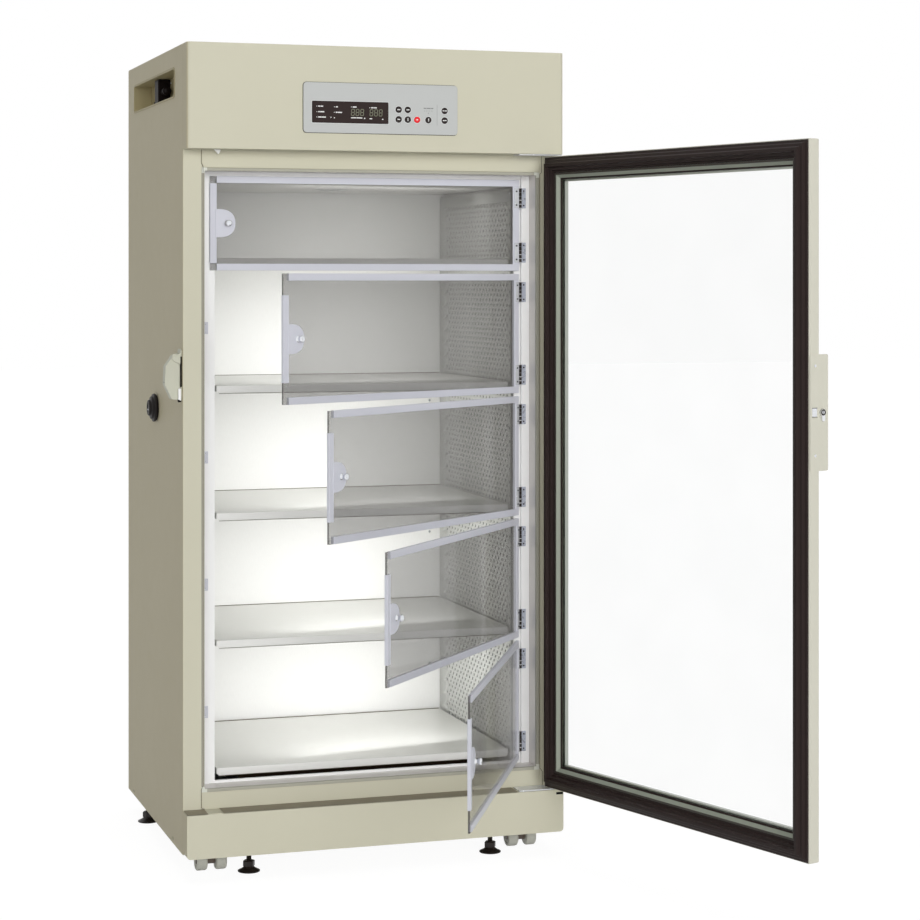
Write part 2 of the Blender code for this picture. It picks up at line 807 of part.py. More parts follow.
def fixed_leaf(name, height):
    """The leaf on the pillar, with the lower half of the knuckle."""
    x, y = INNER_PIVOT
    half = LEAF_HEIGHT / 2
    inner = KNUCKLE_RADIUS + CLEARANCE
    back = y + STRIP_OFFSET
    low = height - half
    middle = height - CLEARANCE
    leaf = block(name, (x + inner, back - LEAF, low), (x + LEAF_WIDTH, back + LEAF, height + half))
    bridge = block(f"{name}_bridge", (x, back - LEAF, low), (x + inner + LEAF, back - SHEET / 4, middle))
    knuckle = cylinder(f"{name}_knuckle", (x, y), "Z", KNUCKLE_RADIUS, low, middle, 10)
    return leaf, bridge, knuckle


def moving_leaf(name, height, frame):
    """The leaf on the door, with the upper half of the knuckle."""
    half = LEAF_HEIGHT / 2
    inner = KNUCKLE_RADIUS + CLEARANCE
    back = STRIP_OFFSET
    front = back - LEAF
    middle = height + CLEARANCE
    high = height + half
    leaf = block(name, (-LEAF_WIDTH, front, height - half), (-inner, back + LEAF, high), None, frame)
    bridge_end = (0.0, back - SHEET / 4, high)
    bridge = block(f"{name}_bridge", (-inner - LEAF, front, middle), bridge_end, None, frame)
    knuckle = cylinder(f"{name}_knuckle", (0.0, 0.0), "Z", KNUCKLE_RADIUS, middle, high, 10, None, frame)
    return leaf, bridge, knuckle


def pull_knob(name, x, height, frame):
    """A turned pull knob that stands out of the front of an inner door."""
    neck = KNOB_RADIUS * 0.55
    back = -KNOB_LENGTH
    profile = [
        (0.0, 0.0),
        (KNOB_RADIUS * 0.8, 0.0),
        (KNOB_RADIUS, -KNOB_CROWN),
        (KNOB_RADIUS, -KNOB_HEAD),
        (neck, -KNOB_NECK),
        (neck, back - STRIP_OFFSET),
        (0.0, back - STRIP_OFFSET),
    ]
    place = (x, STRIP_OFFSET - HANDLE_TAB - KNOB_LENGTH, height)
    return turned(name, profile, place, (math.pi / 2, 0.0, 0.0), None, frame, 12)


def inner_door(index):
    """A smoked pane with edge strips, two hinge leaves, a pull tab and a knob."""
    bottom, top = inner_door_span(index)
    angle = INNER_OPEN_ANGLES[index]
    frame = empty(f"inner_door_{index + 1}_hinge", (*INNER_PIVOT, bottom), ROOT, angle)
    height = top - bottom
    left = -INNER_WIDTH
    right = -PIVOT_GAP
    front = STRIP_OFFSET
    back = STRIP_OFFSET + STRIP_THICKNESS
    door = block(
        f"inner_door_{index + 1}",
        (left + CLEARANCE, PANE_OFFSET, CLEARANCE),
        (right - CLEARANCE, PANE_OFFSET + PANE, height - CLEARANCE),
        smoked_acrylic(),
        frame,
    )
    start = left + STRIP_WIDTH
    lower = block("lower_strip", (start, front, 0.0), (right, back, STRIP_WIDTH), None, frame)
    upper = block("upper_strip", (start, front, height - STRIP_WIDTH), (right, back, height), None, frame)
    lap = STRIP_WIDTH / 2
    strip_end = (right, back, height - lap)
    hinge_strip = block("hinge_strip", (right - STRIP_WIDTH, front, lap), strip_end, None, frame)
    margin = STRIP_WIDTH + TAB_GAP if index == SHELF_COUNT - 1 else height / 6
    middle = height / 2
    tab = [(left, margin), (left + STRIP_WIDTH, margin)]
    tab += [(left + STRIP_WIDTH, middle - HANDLE_TAB_HALF_HEIGHT)]
    reach = HANDLE_TAB_REACH - STRIP_WIDTH
    for step in range(1, 8):
        angle_here = math.radians(-90 + 180 * step / 8)
        tab.append((
            left + STRIP_WIDTH + reach * math.cos(angle_here),
            middle + HANDLE_TAB_HALF_HEIGHT * math.sin(angle_here),
        ))
    tab += [(left + STRIP_WIDTH, middle + HANDLE_TAB_HALF_HEIGHT)]
    tab += [(left + STRIP_WIDTH, height - margin), (left, height - margin)]
    pull_tab = prism("pull_tab", tab, "Y", front - HANDLE_TAB / 2, back - PANE / 2, None, frame)
    knob = pull_knob("knob", left + HANDLE_TAB_REACH * 0.62, middle, frame)
    join(door, lower, upper, hinge_strip, pull_tab, knob)
    for number, place in enumerate(leaf_heights(0.0, height)):
        join(door, *moving_leaf(f"moving_leaf_{index}_{number}", place, frame))


def chamber_liner():
    """The stainless box of the chamber, open at the front."""
    front = THROAT_END + CLEARANCE * 2 + INNER_RING_THICKNESS
    outer = CHAMBER_HALF_WIDTH + SHEET
    liner = block(
        "chamber_liner",
        (-outer, front, CHAMBER_FLOOR - SHEET),
        (outer, CHAMBER_BACK + SHEET, CHAMBER_CEILING + SHEET),
        stainless(),
    )
    hollow = block(
        "liner_hollow",
        (-CHAMBER_HALF_WIDTH, 0.0, CHAMBER_FLOOR),
        (CHAMBER_HALF_WIDTH, CHAMBER_BACK, CHAMBER_CEILING),
    )
    port_radius = PORT_BORE + PORT_TUBE + CLEARANCE
    port_end = -CHAMBER_HALF_WIDTH + SHEET
    port = cylinder("liner_port", PORT_PLACE, "X", port_radius, -outer - SHEET, port_end)
    shaft = cylinder(
        "liner_shaft_hole", (0.0, FAN_Y), "Z", FAN_SHAFT + SHAFT_CLEARANCE,
        CHAMBER_CEILING - SHEET, CHAMBER_CEILING + SHEET * 2, 16,
    )
    cut(liner, hollow, port, shaft)


def insulation():
    """The foam between the chamber and the outer sheets."""
    slab = block(
        "insulation",
        (-INSIDE + CLEARANCE, FRAME_BACK + CLEARANCE, INSULATION_BOTTOM),
        (INSIDE - CLEARANCE, CABINET_DEPTH - SHEET - CLEARANCE, INSULATION_TOP),
        foam(),
    )
    liner_half = CHAMBER_HALF_WIDTH + SHEET + CLEARANCE
    chamber = block(
        "insulation_chamber",
        (-liner_half, THROAT_END, CHAMBER_FLOOR - SHEET - CLEARANCE),
        (liner_half, CHAMBER_BACK + SHEET + CLEARANCE, CHAMBER_CEILING + SHEET + CLEARANCE),
    )
    mouth = block(
        "insulation_mouth",
        (-OPENING_HALF, -FRONT_OVERHANG, OPENING_BOTTOM),
        (OPENING_HALF, THROAT_END + INNER_RING_THICKNESS + CLEARANCE * 2, OPENING_TOP),
    )
    port_radius = PORT_BORE + PORT_TUBE + CLEARANCE
    port = cylinder("insulation_port", PORT_PLACE, "X", port_radius, -HALF_WIDTH, -CHAMBER_HALF_WIDTH)
    shaft = cylinder(
        "insulation_shaft_hole", (0.0, FAN_Y), "Z", FAN_SHAFT + SHAFT_CLEARANCE,
        CHAMBER_CEILING, INSULATION_TOP + SHEET, 16,
    )
    cut(slab, chamber, mouth, port, shaft)


def shelf_height(index):
    return SHELF_FIRST + SHELF_PITCH * index


def duct_panel(name, side):
    """A side duct cover with slots for the shelf supports and a folded tab under each shelf."""
    wall = side * (CHAMBER_HALF_WIDTH - CLEARANCE)
    face = side * DUCT_FACE
    path = [(wall, DUCT_FRONT), (face, DUCT_FRONT), (face, DUCT_BACK), (wall, DUCT_BACK)]
    if side < 0:
        path = path[::-1]
    panel = folded_sheet(name, path, DUCT_SHEET, DUCT_BOTTOM, DUCT_TOP, stainless())
    thick = SUPPORT_SIZE[2]
    for index in range(SHELF_COUNT):
        top = shelf_height(index) - SHELF_SHEET - CLEARANCE
        for number, place in enumerate(SUPPORT_POSITIONS):
            inner = side * (DUCT_FACE - SUPPORT_SIZE[0])
            tab = block(
                f"{name}_tab_{index}_{number}",
                (min(inner, face), place - SUPPORT_SIZE[1] / 2, top - thick),
                (max(inner, face), place + SUPPORT_SIZE[1] / 2, top),
            )
            join(panel, tab)
    slots = slot_comb(f"{name}_slots", side)
    cut(panel, slots)
    if side < 0:
        port = cylinder(
            f"{name}_port", PORT_PLACE, "X", PORT_BORE, -DUCT_FACE - SHEET * 2, -DUCT_FACE + SHEET * 2
        )
        cut(panel, port)


def slot_comb(name, side):
    """All the slot cutters of one duct panel, as separate blocks in one cutter mesh."""
    shape = bmesh.new()
    count = int((DUCT_TOP - DUCT_BOTTOM) / SLOT_PITCH) - 1
    for column in SLOT_COLUMNS:
        for row in range(count):
            made = bmesh.ops.create_cube(shape, size=1.0)
            height = DUCT_BOTTOM + SLOT_PITCH * (row + 1)
            size = (DUCT_SHEET * 4, SLOT_SIZE[1], SLOT_SIZE[0])
            bmesh.ops.scale(shape, vec=size, verts=made["verts"])
            bmesh.ops.translate(shape, vec=(side * DUCT_FACE, column, height), verts=made["verts"])
    return from_bmesh(name, shape, None, ROOT)


def ceiling_duct_panel():
    """The cover under the fan, hung from the ceiling by its folded ends."""
    half = CHAMBER_HALF_WIDTH - CLEARANCE
    top = CHAMBER_CEILING - CLEARANCE
    outline = [
        (DUCT_FRONT, top),
        (DUCT_FRONT, CEILING_DUCT),
        (DUCT_BACK, CEILING_DUCT),
        (DUCT_BACK, top),
        (DUCT_BACK - DUCT_SHEET, top),
        (DUCT_BACK - DUCT_SHEET, CEILING_DUCT + DUCT_SHEET),
        (DUCT_FRONT + DUCT_SHEET, CEILING_DUCT + DUCT_SHEET),
        (DUCT_FRONT + DUCT_SHEET, top),
    ]
    cover = prism("ceiling_duct_panel", outline, "X", -half, half, stainless())
    above = CEILING_DUCT + DUCT_SHEET * 2
    inlet = cylinder("fan_inlet", (0.0, FAN_Y), "Z", FAN_INLET, CEILING_DUCT - SHEET, above, 20)
    cut(cover, inlet)


def shelf(index):
    """A shelf folded down on its four sides."""
    top = shelf_height(index)
    shape = bmesh.new()
    bmesh.ops.create_cube(shape, size=1.0)
    below = [face for face in shape.faces if face.normal.z < -0.5]
    bmesh.ops.delete(shape, geom=below, context="FACES_ONLY")
    size = (SHELF_HALF * 2, SHELF_BACK - SHELF_FRONT, SHELF_LIP)
    middle = (0.0, (SHELF_BACK + SHELF_FRONT) / 2, top - SHELF_LIP / 2)
    bmesh.ops.scale(shape, vec=size, verts=shape.verts)
    bmesh.ops.translate(shape, vec=middle, verts=shape.verts)
    made = from_bmesh(f"shelf_{index + 1}", shape, stainless(), ROOT)
    skin = made.modifiers.new("sheet", "SOLIDIFY")
    skin.thickness = SHELF_SHEET
    skin.offset = -1.0
    skin.use_even_offset = True
    for side in (-1, 1):
        for number, place in enumerate(SUPPORT_POSITIONS):
            inner = side * (SHELF_HALF - SUPPORT_SIZE[0] * 1.5)
            outer = side * (SHELF_HALF + SHELF_SHEET)
            notch = block(
                f"shelf_{index + 1}_notch_{side}_{number}",
                (min(inner, outer), place - SUPPORT_SIZE[1], top - SHELF_LIP * 2),
                (max(inner, outer), place + SUPPORT_SIZE[1], top - SHELF_SHEET),
            )
            cut(made, notch)


def humidity_pan():
    """The open water tray on the chamber floor."""
    bottom = CHAMBER_FLOOR + CLEARANCE
    far_corner = (PAN_HALF_WIDTH, PAN_BACK, bottom + PAN_HEIGHT)
    tray = block("humidity_pan", (-PAN_HALF_WIDTH, PAN_FRONT, bottom), far_corner, stainless())
    hollow = block(
        "pan_hollow",
        (-PAN_HALF_WIDTH + PAN_SHEET, PAN_FRONT + PAN_SHEET, bottom + PAN_SHEET),
        (PAN_HALF_WIDTH - PAN_SHEET, PAN_BACK - PAN_SHEET, bottom + PAN_HEIGHT * 2),
    )
    cut(tray, hollow)


def control_fascia():
    """The moulded control plate with a raised display window and a hole for each key."""
    outline = panel_outline(FASCIA_CENTRE, FASCIA_SIZE, FASCIA_RADIUS, ROUND_STEPS)
    plate = prism("control_fascia", outline, "Y", FASCIA_FRONT, FASCIA_BACK, grey_plastic())
    outline = panel_outline(WINDOW_CENTRE, WINDOW_SIZE, WINDOW_RADIUS, 2)
    join(plate, prism("display_window", outline, "Y", FASCIA_FRONT - WINDOW_PROUD, FASCIA_BACK - SHEET))
    bore = KEY_RADIUS + KEY_CLEARANCE
    for index, (x, height) in enumerate(KEY_PLACES):
        place = (x, HEADER_BOTTOM + height)
        hole = cylinder(
            f"key_hole_{index}", place, "Y", bore, FASCIA_FRONT - SHEET, FASCIA_BACK + SHEET, 16
        )
        cut(plate, hole)


def panel_outline(centre, size, radius, steps):
    """A rounded rectangle on the header's face, its centre measured from the underside."""
    x, z = centre[0], HEADER_BOTTOM + centre[1]
    half_width, half_height = size[0] / 2, size[1] / 2
    low = (x - half_width, z - half_height)
    high = (x + half_width, z + half_height)
    return rounded_rectangle(low, high, radius, steps)


def key(index, place):
    """A round key, its frame on its line of travel at the face of the control plate."""
    x, height = place
    frame = empty(f"key_{index + 1}_travel", (x, FASCIA_FRONT, HEADER_BOTTOM + height), ROOT)
    finish = red_plastic() if index == 4 else black_plastic()
    back = KEY_LENGTH - KEY_PROUD
    cap = cylinder(f"key_{index + 1}", (0.0, 0.0), "Y", KEY_RADIUS, -KEY_PROUD, back, 16, finish, frame)
    bevel(cap, KEY_EDGE, 1)


def gas_port_recess():
    """The moulded pocket in the left side that holds the gas connections."""
    outside = -HALF_WIDTH - SHEET
    inside = -HALF_WIDTH + RECESS_DEPTH
    wall = RECESS_WALL
    flange = rounded_rectangle(
        (RECESS_Y[0] - RECESS_LIP, RECESS_Z[0] - RECESS_LIP),
        (RECESS_Y[1] + RECESS_LIP, RECESS_Z[1] + RECESS_LIP),
        RECESS_RADIUS + RECESS_LIP,
    )
    low = (RECESS_Y[0] - wall, RECESS_Z[0] - wall)
    high = (RECESS_Y[1] + wall, RECESS_Z[1] + wall)
    pocket = rounded_rectangle(low, high, RECESS_RADIUS + wall)
    hollow = rounded_rectangle((RECESS_Y[0], RECESS_Z[0]), (RECESS_Y[1], RECESS_Z[1]), RECESS_RADIUS)
    tray = prism("gas_port_recess", flange, "X", outside, -HALF_WIDTH - CLEARANCE, beige_paint())
    body = prism("recess_body", pocket, "X", -HALF_WIDTH - SHEET / 2, inside)
    space = prism("recess_space", hollow, "X", outside - SHEET, inside - wall)
    cut(join(tray, body), space)


def gas_port_fittings():
    """The valve block with a hose spigot forwards and an elbow backwards."""
    back = -HALF_WIDTH + RECESS_DEPTH - RECESS_WALL - CLEARANCE
    middle_z = (RECESS_Z[0] + RECESS_Z[1]) / 2
    half_width = GAS_BLOCK_SIZE[1] / 2
    gap = CLEARANCE * 2
    body = block(
        "gas_port_fittings",
        (back - GAS_BLOCK_SIZE[0], GAS_BLOCK_Y - half_width, RECESS_Z[0] + gap),
        (back, GAS_BLOCK_Y + half_width, RECESS_Z[1] - gap),
        black_plastic(),
    )
    across = (back - GAS_BLOCK_SIZE[0] / 2, middle_z)
    front = GAS_BLOCK_Y - half_width
    rear = GAS_BLOCK_Y + half_width
    spigot = cylinder("gas_spigot", across, "Y", SPIGOT_RADIUS, front - SPIGOT_LENGTH, front + SHEET, 16)
    near, far = COLLAR_SPAN
    collar = cylinder("gas_collar", across, "Y", COLLAR_RADIUS, front - far, front - near, 16)
    elbow = cylinder("gas_elbow", across, "Y", ELBOW_RADIUS, rear - SHEET, rear + ELBOW_REACH, 16)
    drop_place = (across[0], rear + ELBOW_REACH - DROP_RADIUS / 2)
    drop_top = middle_z + ELBOW_RADIUS + SHEET / 2
    drop = cylinder("gas_drop", drop_place, "Z", DROP_RADIUS, RECESS_Z[0] + gap, drop_top, 16)
    join(body, spigot, collar, elbow, drop)


def access_port_sleeve():
    """The flanged tube through the side wall for leads and probes."""
    outer = PORT_BORE + PORT_TUBE
    face = -HALF_WIDTH - CLEARANCE
    inner_end = -CHAMBER_HALF_WIDTH + CLEARANCE * 2
    finish = black_plastic()
    tube = cylinder("access_port_sleeve", PORT_PLACE, "X", outer, face - SHEET, inner_end, 24, finish)
    flange = cylinder("port_flange", PORT_PLACE, "X", PORT_FLANGE, face - PORT_FLANGE_THICKNESS, face, 24)
    bore = cylinder("port_bore", PORT_PLACE, "X", PORT_BORE, face - SHEET * 5, inner_end + SHEET, 24)
    cut(join(tube, flange), bore)


def access_port_cap():
    """The push-in stopper, its frame at the mouth of the sleeve."""
    mouth = -HALF_WIDTH - CLEARANCE * 2 - PORT_FLANGE_THICKNESS
    frame = empty("access_port_axis", (mouth, *PORT_PLACE), ROOT)
    plug = PORT_BORE - CLEARANCE
    profile = [
        (0.0, CAP_HEIGHT),
        (CAP_RADIUS * 0.55, CAP_HEIGHT),
        (CAP_RADIUS * 0.85, CAP_HEIGHT * 0.62),
        (CAP_RADIUS, CAP_HEIGHT * 0.35),
        (CAP_RADIUS, 0.0),
        (plug, 0.0),
        (plug, -CAP_PLUG),
        (0.0, -CAP_PLUG),
    ]
    turned("access_port_cap", profile, (0.0, 0.0, 0.0), (0.0, -math.pi / 2, 0.0), black_rubber(), frame, 24)


def latch():
    """The side latch: a plate with two ears and a pin, and the lever that swings on it."""
    face = -HALF_WIDTH - CLEARANCE
    outline = rounded_rectangle((LATCH_Y[0], LATCH_Z[0]), (LATCH_Y[1], LATCH_Z[1]), LATCH_RADIUS)
    plate = prism("latch_base", outline, "X", face - LATCH_PLATE, face, beige_paint())
    pivot_x, pivot_z = LATCH_PIVOT
    root = face - LATCH_PLATE / 2
    below, above = LATCH_EAR_SPAN
    ear_outline = [(root, pivot_z - below)] + arc((pivot_x, pivot_z), LATCH_EAR_RADIUS, 235, 90, 6)
    ear_outline += [(root, pivot_z + above)]
    for number, start in enumerate((LATCH_Y[0], LATCH_Y[1] - LATCH_EAR)):
        join(plate, prism(f"latch_ear_{number}", ear_outline, "Y", start, start + LATCH_EAR))
    pin = cylinder("latch_pin", LATCH_PIVOT, "Y", LATCH_PIN, LATCH_Y[0] + SHEET, LATCH_Y[1] - SHEET, 12)
    join(plate, pin)
    frame = empty("latch_axis", (pivot_x, 0.0, pivot_z), ROOT)
    front = LATCH_Y[0] + LATCH_EAR + CLEARANCE
    rear = LATCH_Y[1] - LATCH_EAR - CLEARANCE
    near = face - LATCH_PLATE - CLEARANCE * 3 - pivot_x
    lever_outline = arc((0.0, 0.0), LEVER_HEAD, 60, 150, 3)
    lever_outline += [
        (-LEVER_DEPTH * 0.92, -LEVER_LENGTH * 0.19),
        (-LEVER_DEPTH, -LEVER_LENGTH * 0.625),
        (-LEVER_DEPTH / 3, -LEVER_LENGTH * 0.98),
        (near, -LEVER_LENGTH),
        (near, -LEVER_HEAD / 2),
    ]
    lever = prism("latch_lever", lever_outline, "Y", front, rear, beige_paint(), frame)
    bore = LATCH_PIN + LATCH_PIN_FIT
    hole = cylinder("lever_hole", (0.0, 0.0), "Y", bore, front - SHEET, rear + SHEET, 12, None, frame)
    cut(lever, hole)


def hinge_bracket(name, plate_low, plate_high, pin_low, pin_high):
    """A plate under the header or on the base, with the pin that the outer door turns on."""
    plate = block(
        name,
        (HINGE_PLATE_LEFT, -FRONT_OVERHANG + HINGE_PLATE_FRONT, plate_low),
        (HALF_WIDTH - HINGE_PLATE_SIDE, -CLEARANCE * 2, plate_high),
        stainless(),
    )
    pin = cylinder(f"{name}_pin", DOOR_PIVOT, "Z", PIN_RADIUS, pin_low, pin_high, 16)
    join(plate, pin)


def hinge_brackets():
    top = HEADER_BOTTOM - CLEARANCE
    hinge_bracket("upper_hinge_bracket", top - HINGE_PLATE, top, DOOR_TOP - PIN_REACH, top - SHEET)
    bottom = BASE_TOP + CLEARANCE
    pin_top = DOOR_BOTTOM + PIN_REACH
    hinge_bracket("lower_hinge_bracket", bottom, bottom + HINGE_PLATE, bottom + SHEET, pin_top)


def outer_door():
    """The glazed outer door: shell, glazing unit, inner frame, gasket, handle plate and lock."""
    frame = empty("outer_door_hinge", (*DOOR_PIVOT, 0.0), ROOT, DOOR_OPEN_ANGLE)
    low = (DOOR_LEFT, DOOR_BOTTOM)
    high = (DOOR_BEYOND_PIVOT, DOOR_TOP)
    door_shell(frame, low, high)
    glazing_front = DOOR_FRONT + GLASS_LIP + CLEARANCE
    door_glazing(frame, low, high, glazing_front)
    glazing_back = glazing_front + 2 * GLASS + GLASS_GAP
    pocket = GLAZING_MARGIN
    profile = [
        (pocket, glazing_back + CLEARANCE),
        (WINDOW_MARGIN, glazing_back + CLEARANCE),
        (WINDOW_MARGIN - SHEET, glazing_back + SHEET * 2),
        (GASKET_WIDTH + INNER_BEAD, DOOR_BACK + INNER_BEAD_RISE[1]),
        (GASKET_WIDTH + CLEARANCE, DOOR_BACK + INNER_BEAD_RISE[0]),
        (GASKET_WIDTH + CLEARANCE, DOOR_BACK + CLEARANCE),
        (pocket, DOOR_BACK + CLEARANCE),
    ]
    mitred_frame("door_inner_frame", low, high, profile, grey_plastic(), frame)
    door_gasket(frame, low, high)
    handle_plate(frame)


def door_shell(frame, low, high):
    """The painted frame of the door, rebated for the glazing and drilled for the pins."""
    pocket = GLAZING_MARGIN - CLEARANCE * 2
    edge = DOOR_RADIUS
    profile = [
        (0.0, DOOR_FRONT + edge),
        (edge * 0.3, DOOR_FRONT + edge * 0.3),
        (edge, DOOR_FRONT),
        (WINDOW_MARGIN - WINDOW_CHAMFER, DOOR_FRONT),
        (WINDOW_MARGIN, DOOR_FRONT + GLASS_LIP),
        (pocket, DOOR_FRONT + GLASS_LIP),
        (pocket, DOOR_BACK),
        (0.0, DOOR_BACK),
    ]
    shell = mitred_frame("door_shell", low, high, profile, beige_paint(), frame)
    reach = PIN_REACH + 0.002
    for name, start, stop in (
        ("upper_pin_hole", DOOR_TOP - reach, DOOR_TOP + reach),
        ("lower_pin_hole", DOOR_BOTTOM - reach, DOOR_BOTTOM + reach),
    ):
        cut(shell, cylinder(name, (0.0, 0.0), "Z", PIN_RADIUS + CLEARANCE, start, stop, 16, None, frame))


def door_glazing(frame, low, high, front):
    """Two panes on a spacer, one sealed unit with a small breather hole in the spacer."""
    inset = GLAZING_MARGIN
    outer_low = (low[0] + inset, front, low[1] + inset)
    outer_high = (high[0] - inset, front + 2 * GLASS + GLASS_GAP, high[1] - inset)
    unit = block("door_glazing", outer_low, outer_high, clear_glass(), frame)
    spacer = GLASS_SPACER
    space = block(
        "glass_space",
        (outer_low[0] + spacer, front + GLASS, outer_low[2] + spacer),
        (outer_high[0] - spacer, front + GLASS + GLASS_GAP, outer_high[2] - spacer),
        None,
        frame,
    )
    middle = (outer_low[0] + outer_high[0]) / 2
    breather = cylinder(
        "breather", (middle, front + GLASS + GLASS_GAP / 2), "Z", BREATHER_RADIUS,
        outer_low[2] - SHEET, outer_low[2] + spacer + SHEET, 8, None, frame,
    )
    cut(unit, space, breather)


def door_gasket(frame, low, high):
    """The ribbed magnetic gasket round the inner face, low at its outer edge to clear the frame."""
    base = DOOR_BACK + CLEARANCE
    span = GASKET_WIDTH - GASKET_INSET
    profile = [(GASKET_INSET + span * across, base + GASKET_DEPTH * up) for across, up in GASKET_SECTION]
    mitred_frame("door_gasket", low, high, profile, black_rubber(), frame)


def handle_plate(frame):
    """The pull flange on the free edge, with the lock that turns in it."""
    outer = DOOR_LEFT - CLEARANCE
    front = DOOR_FRONT - HANDLE_PROUD
    high = (front + HANDLE_WIDTH, HANDLE_TOP)
    outline = rounded_rectangle((front, HANDLE_BOTTOM), high, HANDLE_RADIUS)
    plate = prism("door_handle_plate", outline, "X", outer - HANDLE_PLATE, outer, beige_paint(), frame)
    lock_y = DOOR_FRONT - LOCK_OFFSET
    bore = LOCK_RADIUS + CLEARANCE
    hole = cylinder(
        "lock_hole", (lock_y, LOCK_HEIGHT), "X", bore, outer - SHEET * 3, outer + SHEET, 20, None, frame
    )
    cut(plate, hole)
    axis = empty("lock_axis", (outer, lock_y, LOCK_HEIGHT), frame)
    outer_face = -HANDLE_PLATE - LOCK_PROUD
    barrel = cylinder(
        "lock_cylinder", (0.0, 0.0), "X", LOCK_RADIUS, outer_face, -CLEARANCE, 20, chrome(), axis
    )
    join(barrel, prism("lock_cam", LOCK_CAM, "X", outer_face, -HANDLE_PLATE - CLEARANCE * 2, None, axis))
    half_width, half_height = LOCK_SLOT[0] / 2, LOCK_SLOT[1] / 2
    slot_low = (outer_face - SHEET, -half_width, -half_height)
    slot_high = (outer_face + SHEET, half_width, half_height)
    slot = block("key_slot", slot_low, slot_high, None, axis)
    cut(barrel, slot)


def fan():
    """A blower wheel under the ceiling, its shaft up through the foam to the motor."""
    top = CHAMBER_CEILING - FAN_DROP
    frame = empty("fan_axis", (0.0, FAN_Y, top), ROOT)
    inside_disc = -FAN_DISC / 2
    wheel = cylinder("fan_wheel", (0.0, 0.0), "Z", FAN_RADIUS, -FAN_DISC, 0.0, 24, grey_plastic(), frame)
    hub = cylinder("fan_hub", (0.0, 0.0), "Z", FAN_HUB, -FAN_HEIGHT, inside_disc, 16, None, frame)
    shaft_top = INSULATION_TOP + CLEARANCE - top
    shaft = cylinder("fan_shaft", (0.0, 0.0), "Z", FAN_SHAFT, -FAN_HEIGHT / 2, shaft_top, 12, None, frame)
    join(wheel, hub, shaft)
    for index in range(FAN_BLADES):
        turn = 2 * math.pi * index / FAN_BLADES
        half = BLADE_THICKNESS / 2
        blade_low = (FAN_RADIUS * 0.62, -half, -FAN_HEIGHT)
        blade = block(f"blade_{index}", blade_low, (FAN_RADIUS * 0.97, half, inside_disc), None, frame)
        blade.rotation_euler.z = turn
        join(wheel, blade)
    base = INSULATION_TOP + CLEARANCE
    gap = CLEARANCE * 2
    motor = cylinder(
        "fan_motor", (0.0, FAN_Y), "Z", MOTOR_RADIUS, base, base + MOTOR_HEIGHT, 20, black_plastic()
    )
    bore_end = base + gap + SHEET
    seat = cylinder("motor_bore", (0.0, FAN_Y), "Z", FAN_SHAFT + CLEARANCE, base - SHEET, bore_end, 12)
    bevel(cut(motor, seat), MOTOR_EDGE, 1, 60)


def levelling_foot(name, place):
    """A screw foot: a dished pad, a hexagon and a stem up to the floor plate."""
    top = BASE_PLATE_BOTTOM - CLEARANCE
    pad = FOOT_PAD_RADIUS
    hex_bottom, hex_top = FOOT_HEX_SPAN
    profile = [
        (0.0, top),
        (STEM_RADIUS, top),
        (STEM_RADIUS, hex_top),
        (FOOT_HEX_RADIUS, hex_top),
        (FOOT_HEX_RADIUS, hex_bottom),
        (FOOT_COLLAR, FOOT_PAD_SHOULDER * 2),
        (pad - FOOT_PAD_RIM, FOOT_PAD_SHOULDER),
        (pad, FOOT_PAD_RIM),
        (pad, 0.0),
        (0.0, 0.0),
    ]
    turned(f"levelling_foot_{name}", profile, (*place, 0.0), (0.0, 0.0, 0.0), black_plastic(), ROOT, 16)


def casters():
    """Two swivelling front casters and two fixed rear ones, each with a pair of wheels."""
    for side, word in ((-1, "left"), (1, "right")):
        x = side * CASTER_X
        swivel = empty(f"front_caster_{word}_swivel", (x, CASTER_FRONT_Y, 0.0), ROOT)
        arm_top = BASE_PLATE_BOTTOM - SWIVEL_HEIGHT
        fork = caster_arm(f"front_caster_{word}", (0.0, 0.0), arm_top, black_plastic(), swivel)
        disc_top = BASE_PLATE_BOTTOM - CLEARANCE
        disc = cylinder(
            f"swivel_disc_{word}", (0.0, 0.0), "Z", SWIVEL_RADIUS, arm_top, disc_top, 16, None, swivel
        )
        join(fork, disc)
        axle = empty(f"front_wheels_{word}_axle", (0.0, CASTER_TRAIL, AXLE_HEIGHT), swivel)
        caster_wheels(f"front_wheels_{word}", axle)
        rear = empty(f"rear_wheels_{word}_axle", (x, CASTER_REAR_Y + CASTER_TRAIL, AXLE_HEIGHT), ROOT)
        caster_wheels(f"rear_wheels_{word}", rear)


def centre_on_footprint():
    """Move the root so that the middle of the underside of the whole product is the origin."""
    bpy.context.view_layer.update()
    graph = bpy.context.evaluated_depsgraph_get()
    low = Vector((math.inf, math.inf, math.inf))
    high = Vector((-math.inf, -math.inf, -math.inf))
    for item in PARTS.objects:
        if item.type != "MESH":
            continue
        seen = item.evaluated_get(graph)
        for corner in seen.to_mesh().vertices:
            place = seen.matrix_world @ corner.co
            low = Vector(map(min, low, place))
            high = Vector(map(max, high, place))
        seen.to_mesh_clear()
    ROOT.location = (-(low.x + high.x) / 2, -(low.y + high.y) / 2, -low.z)


def build():
    left_side()
    side_panel("right_side_panel", 1)
    back_panel()
    header_cover()
    base_plinth()
    front_frame()
    thermal_break()
    door_throat()
    inner_door_frame()
    chamber_liner()
    insulation()
    duct_panel("left_duct_panel", -1)
    duct_panel("right_duct_panel", 1)
    ceiling_duct_panel()
    for index in range(SHELF_COUNT):
        shelf(index)
    humidity_pan()
    control_fascia()
    for index, place in enumerate(KEY_PLACES):
        key(index, place)
    gas_port_recess()
    gas_port_fittings()
    access_port_sleeve()
    access_port_cap()
    latch()
    hinge_brackets()
    outer_door()
    for index in range(SHELF_COUNT):
        inner_door(index)
    fan()
    for name, place in FOOT_PLACES.items():
        levelling_foot(name, place)
    casters()
    centre_on_footprint()


build()
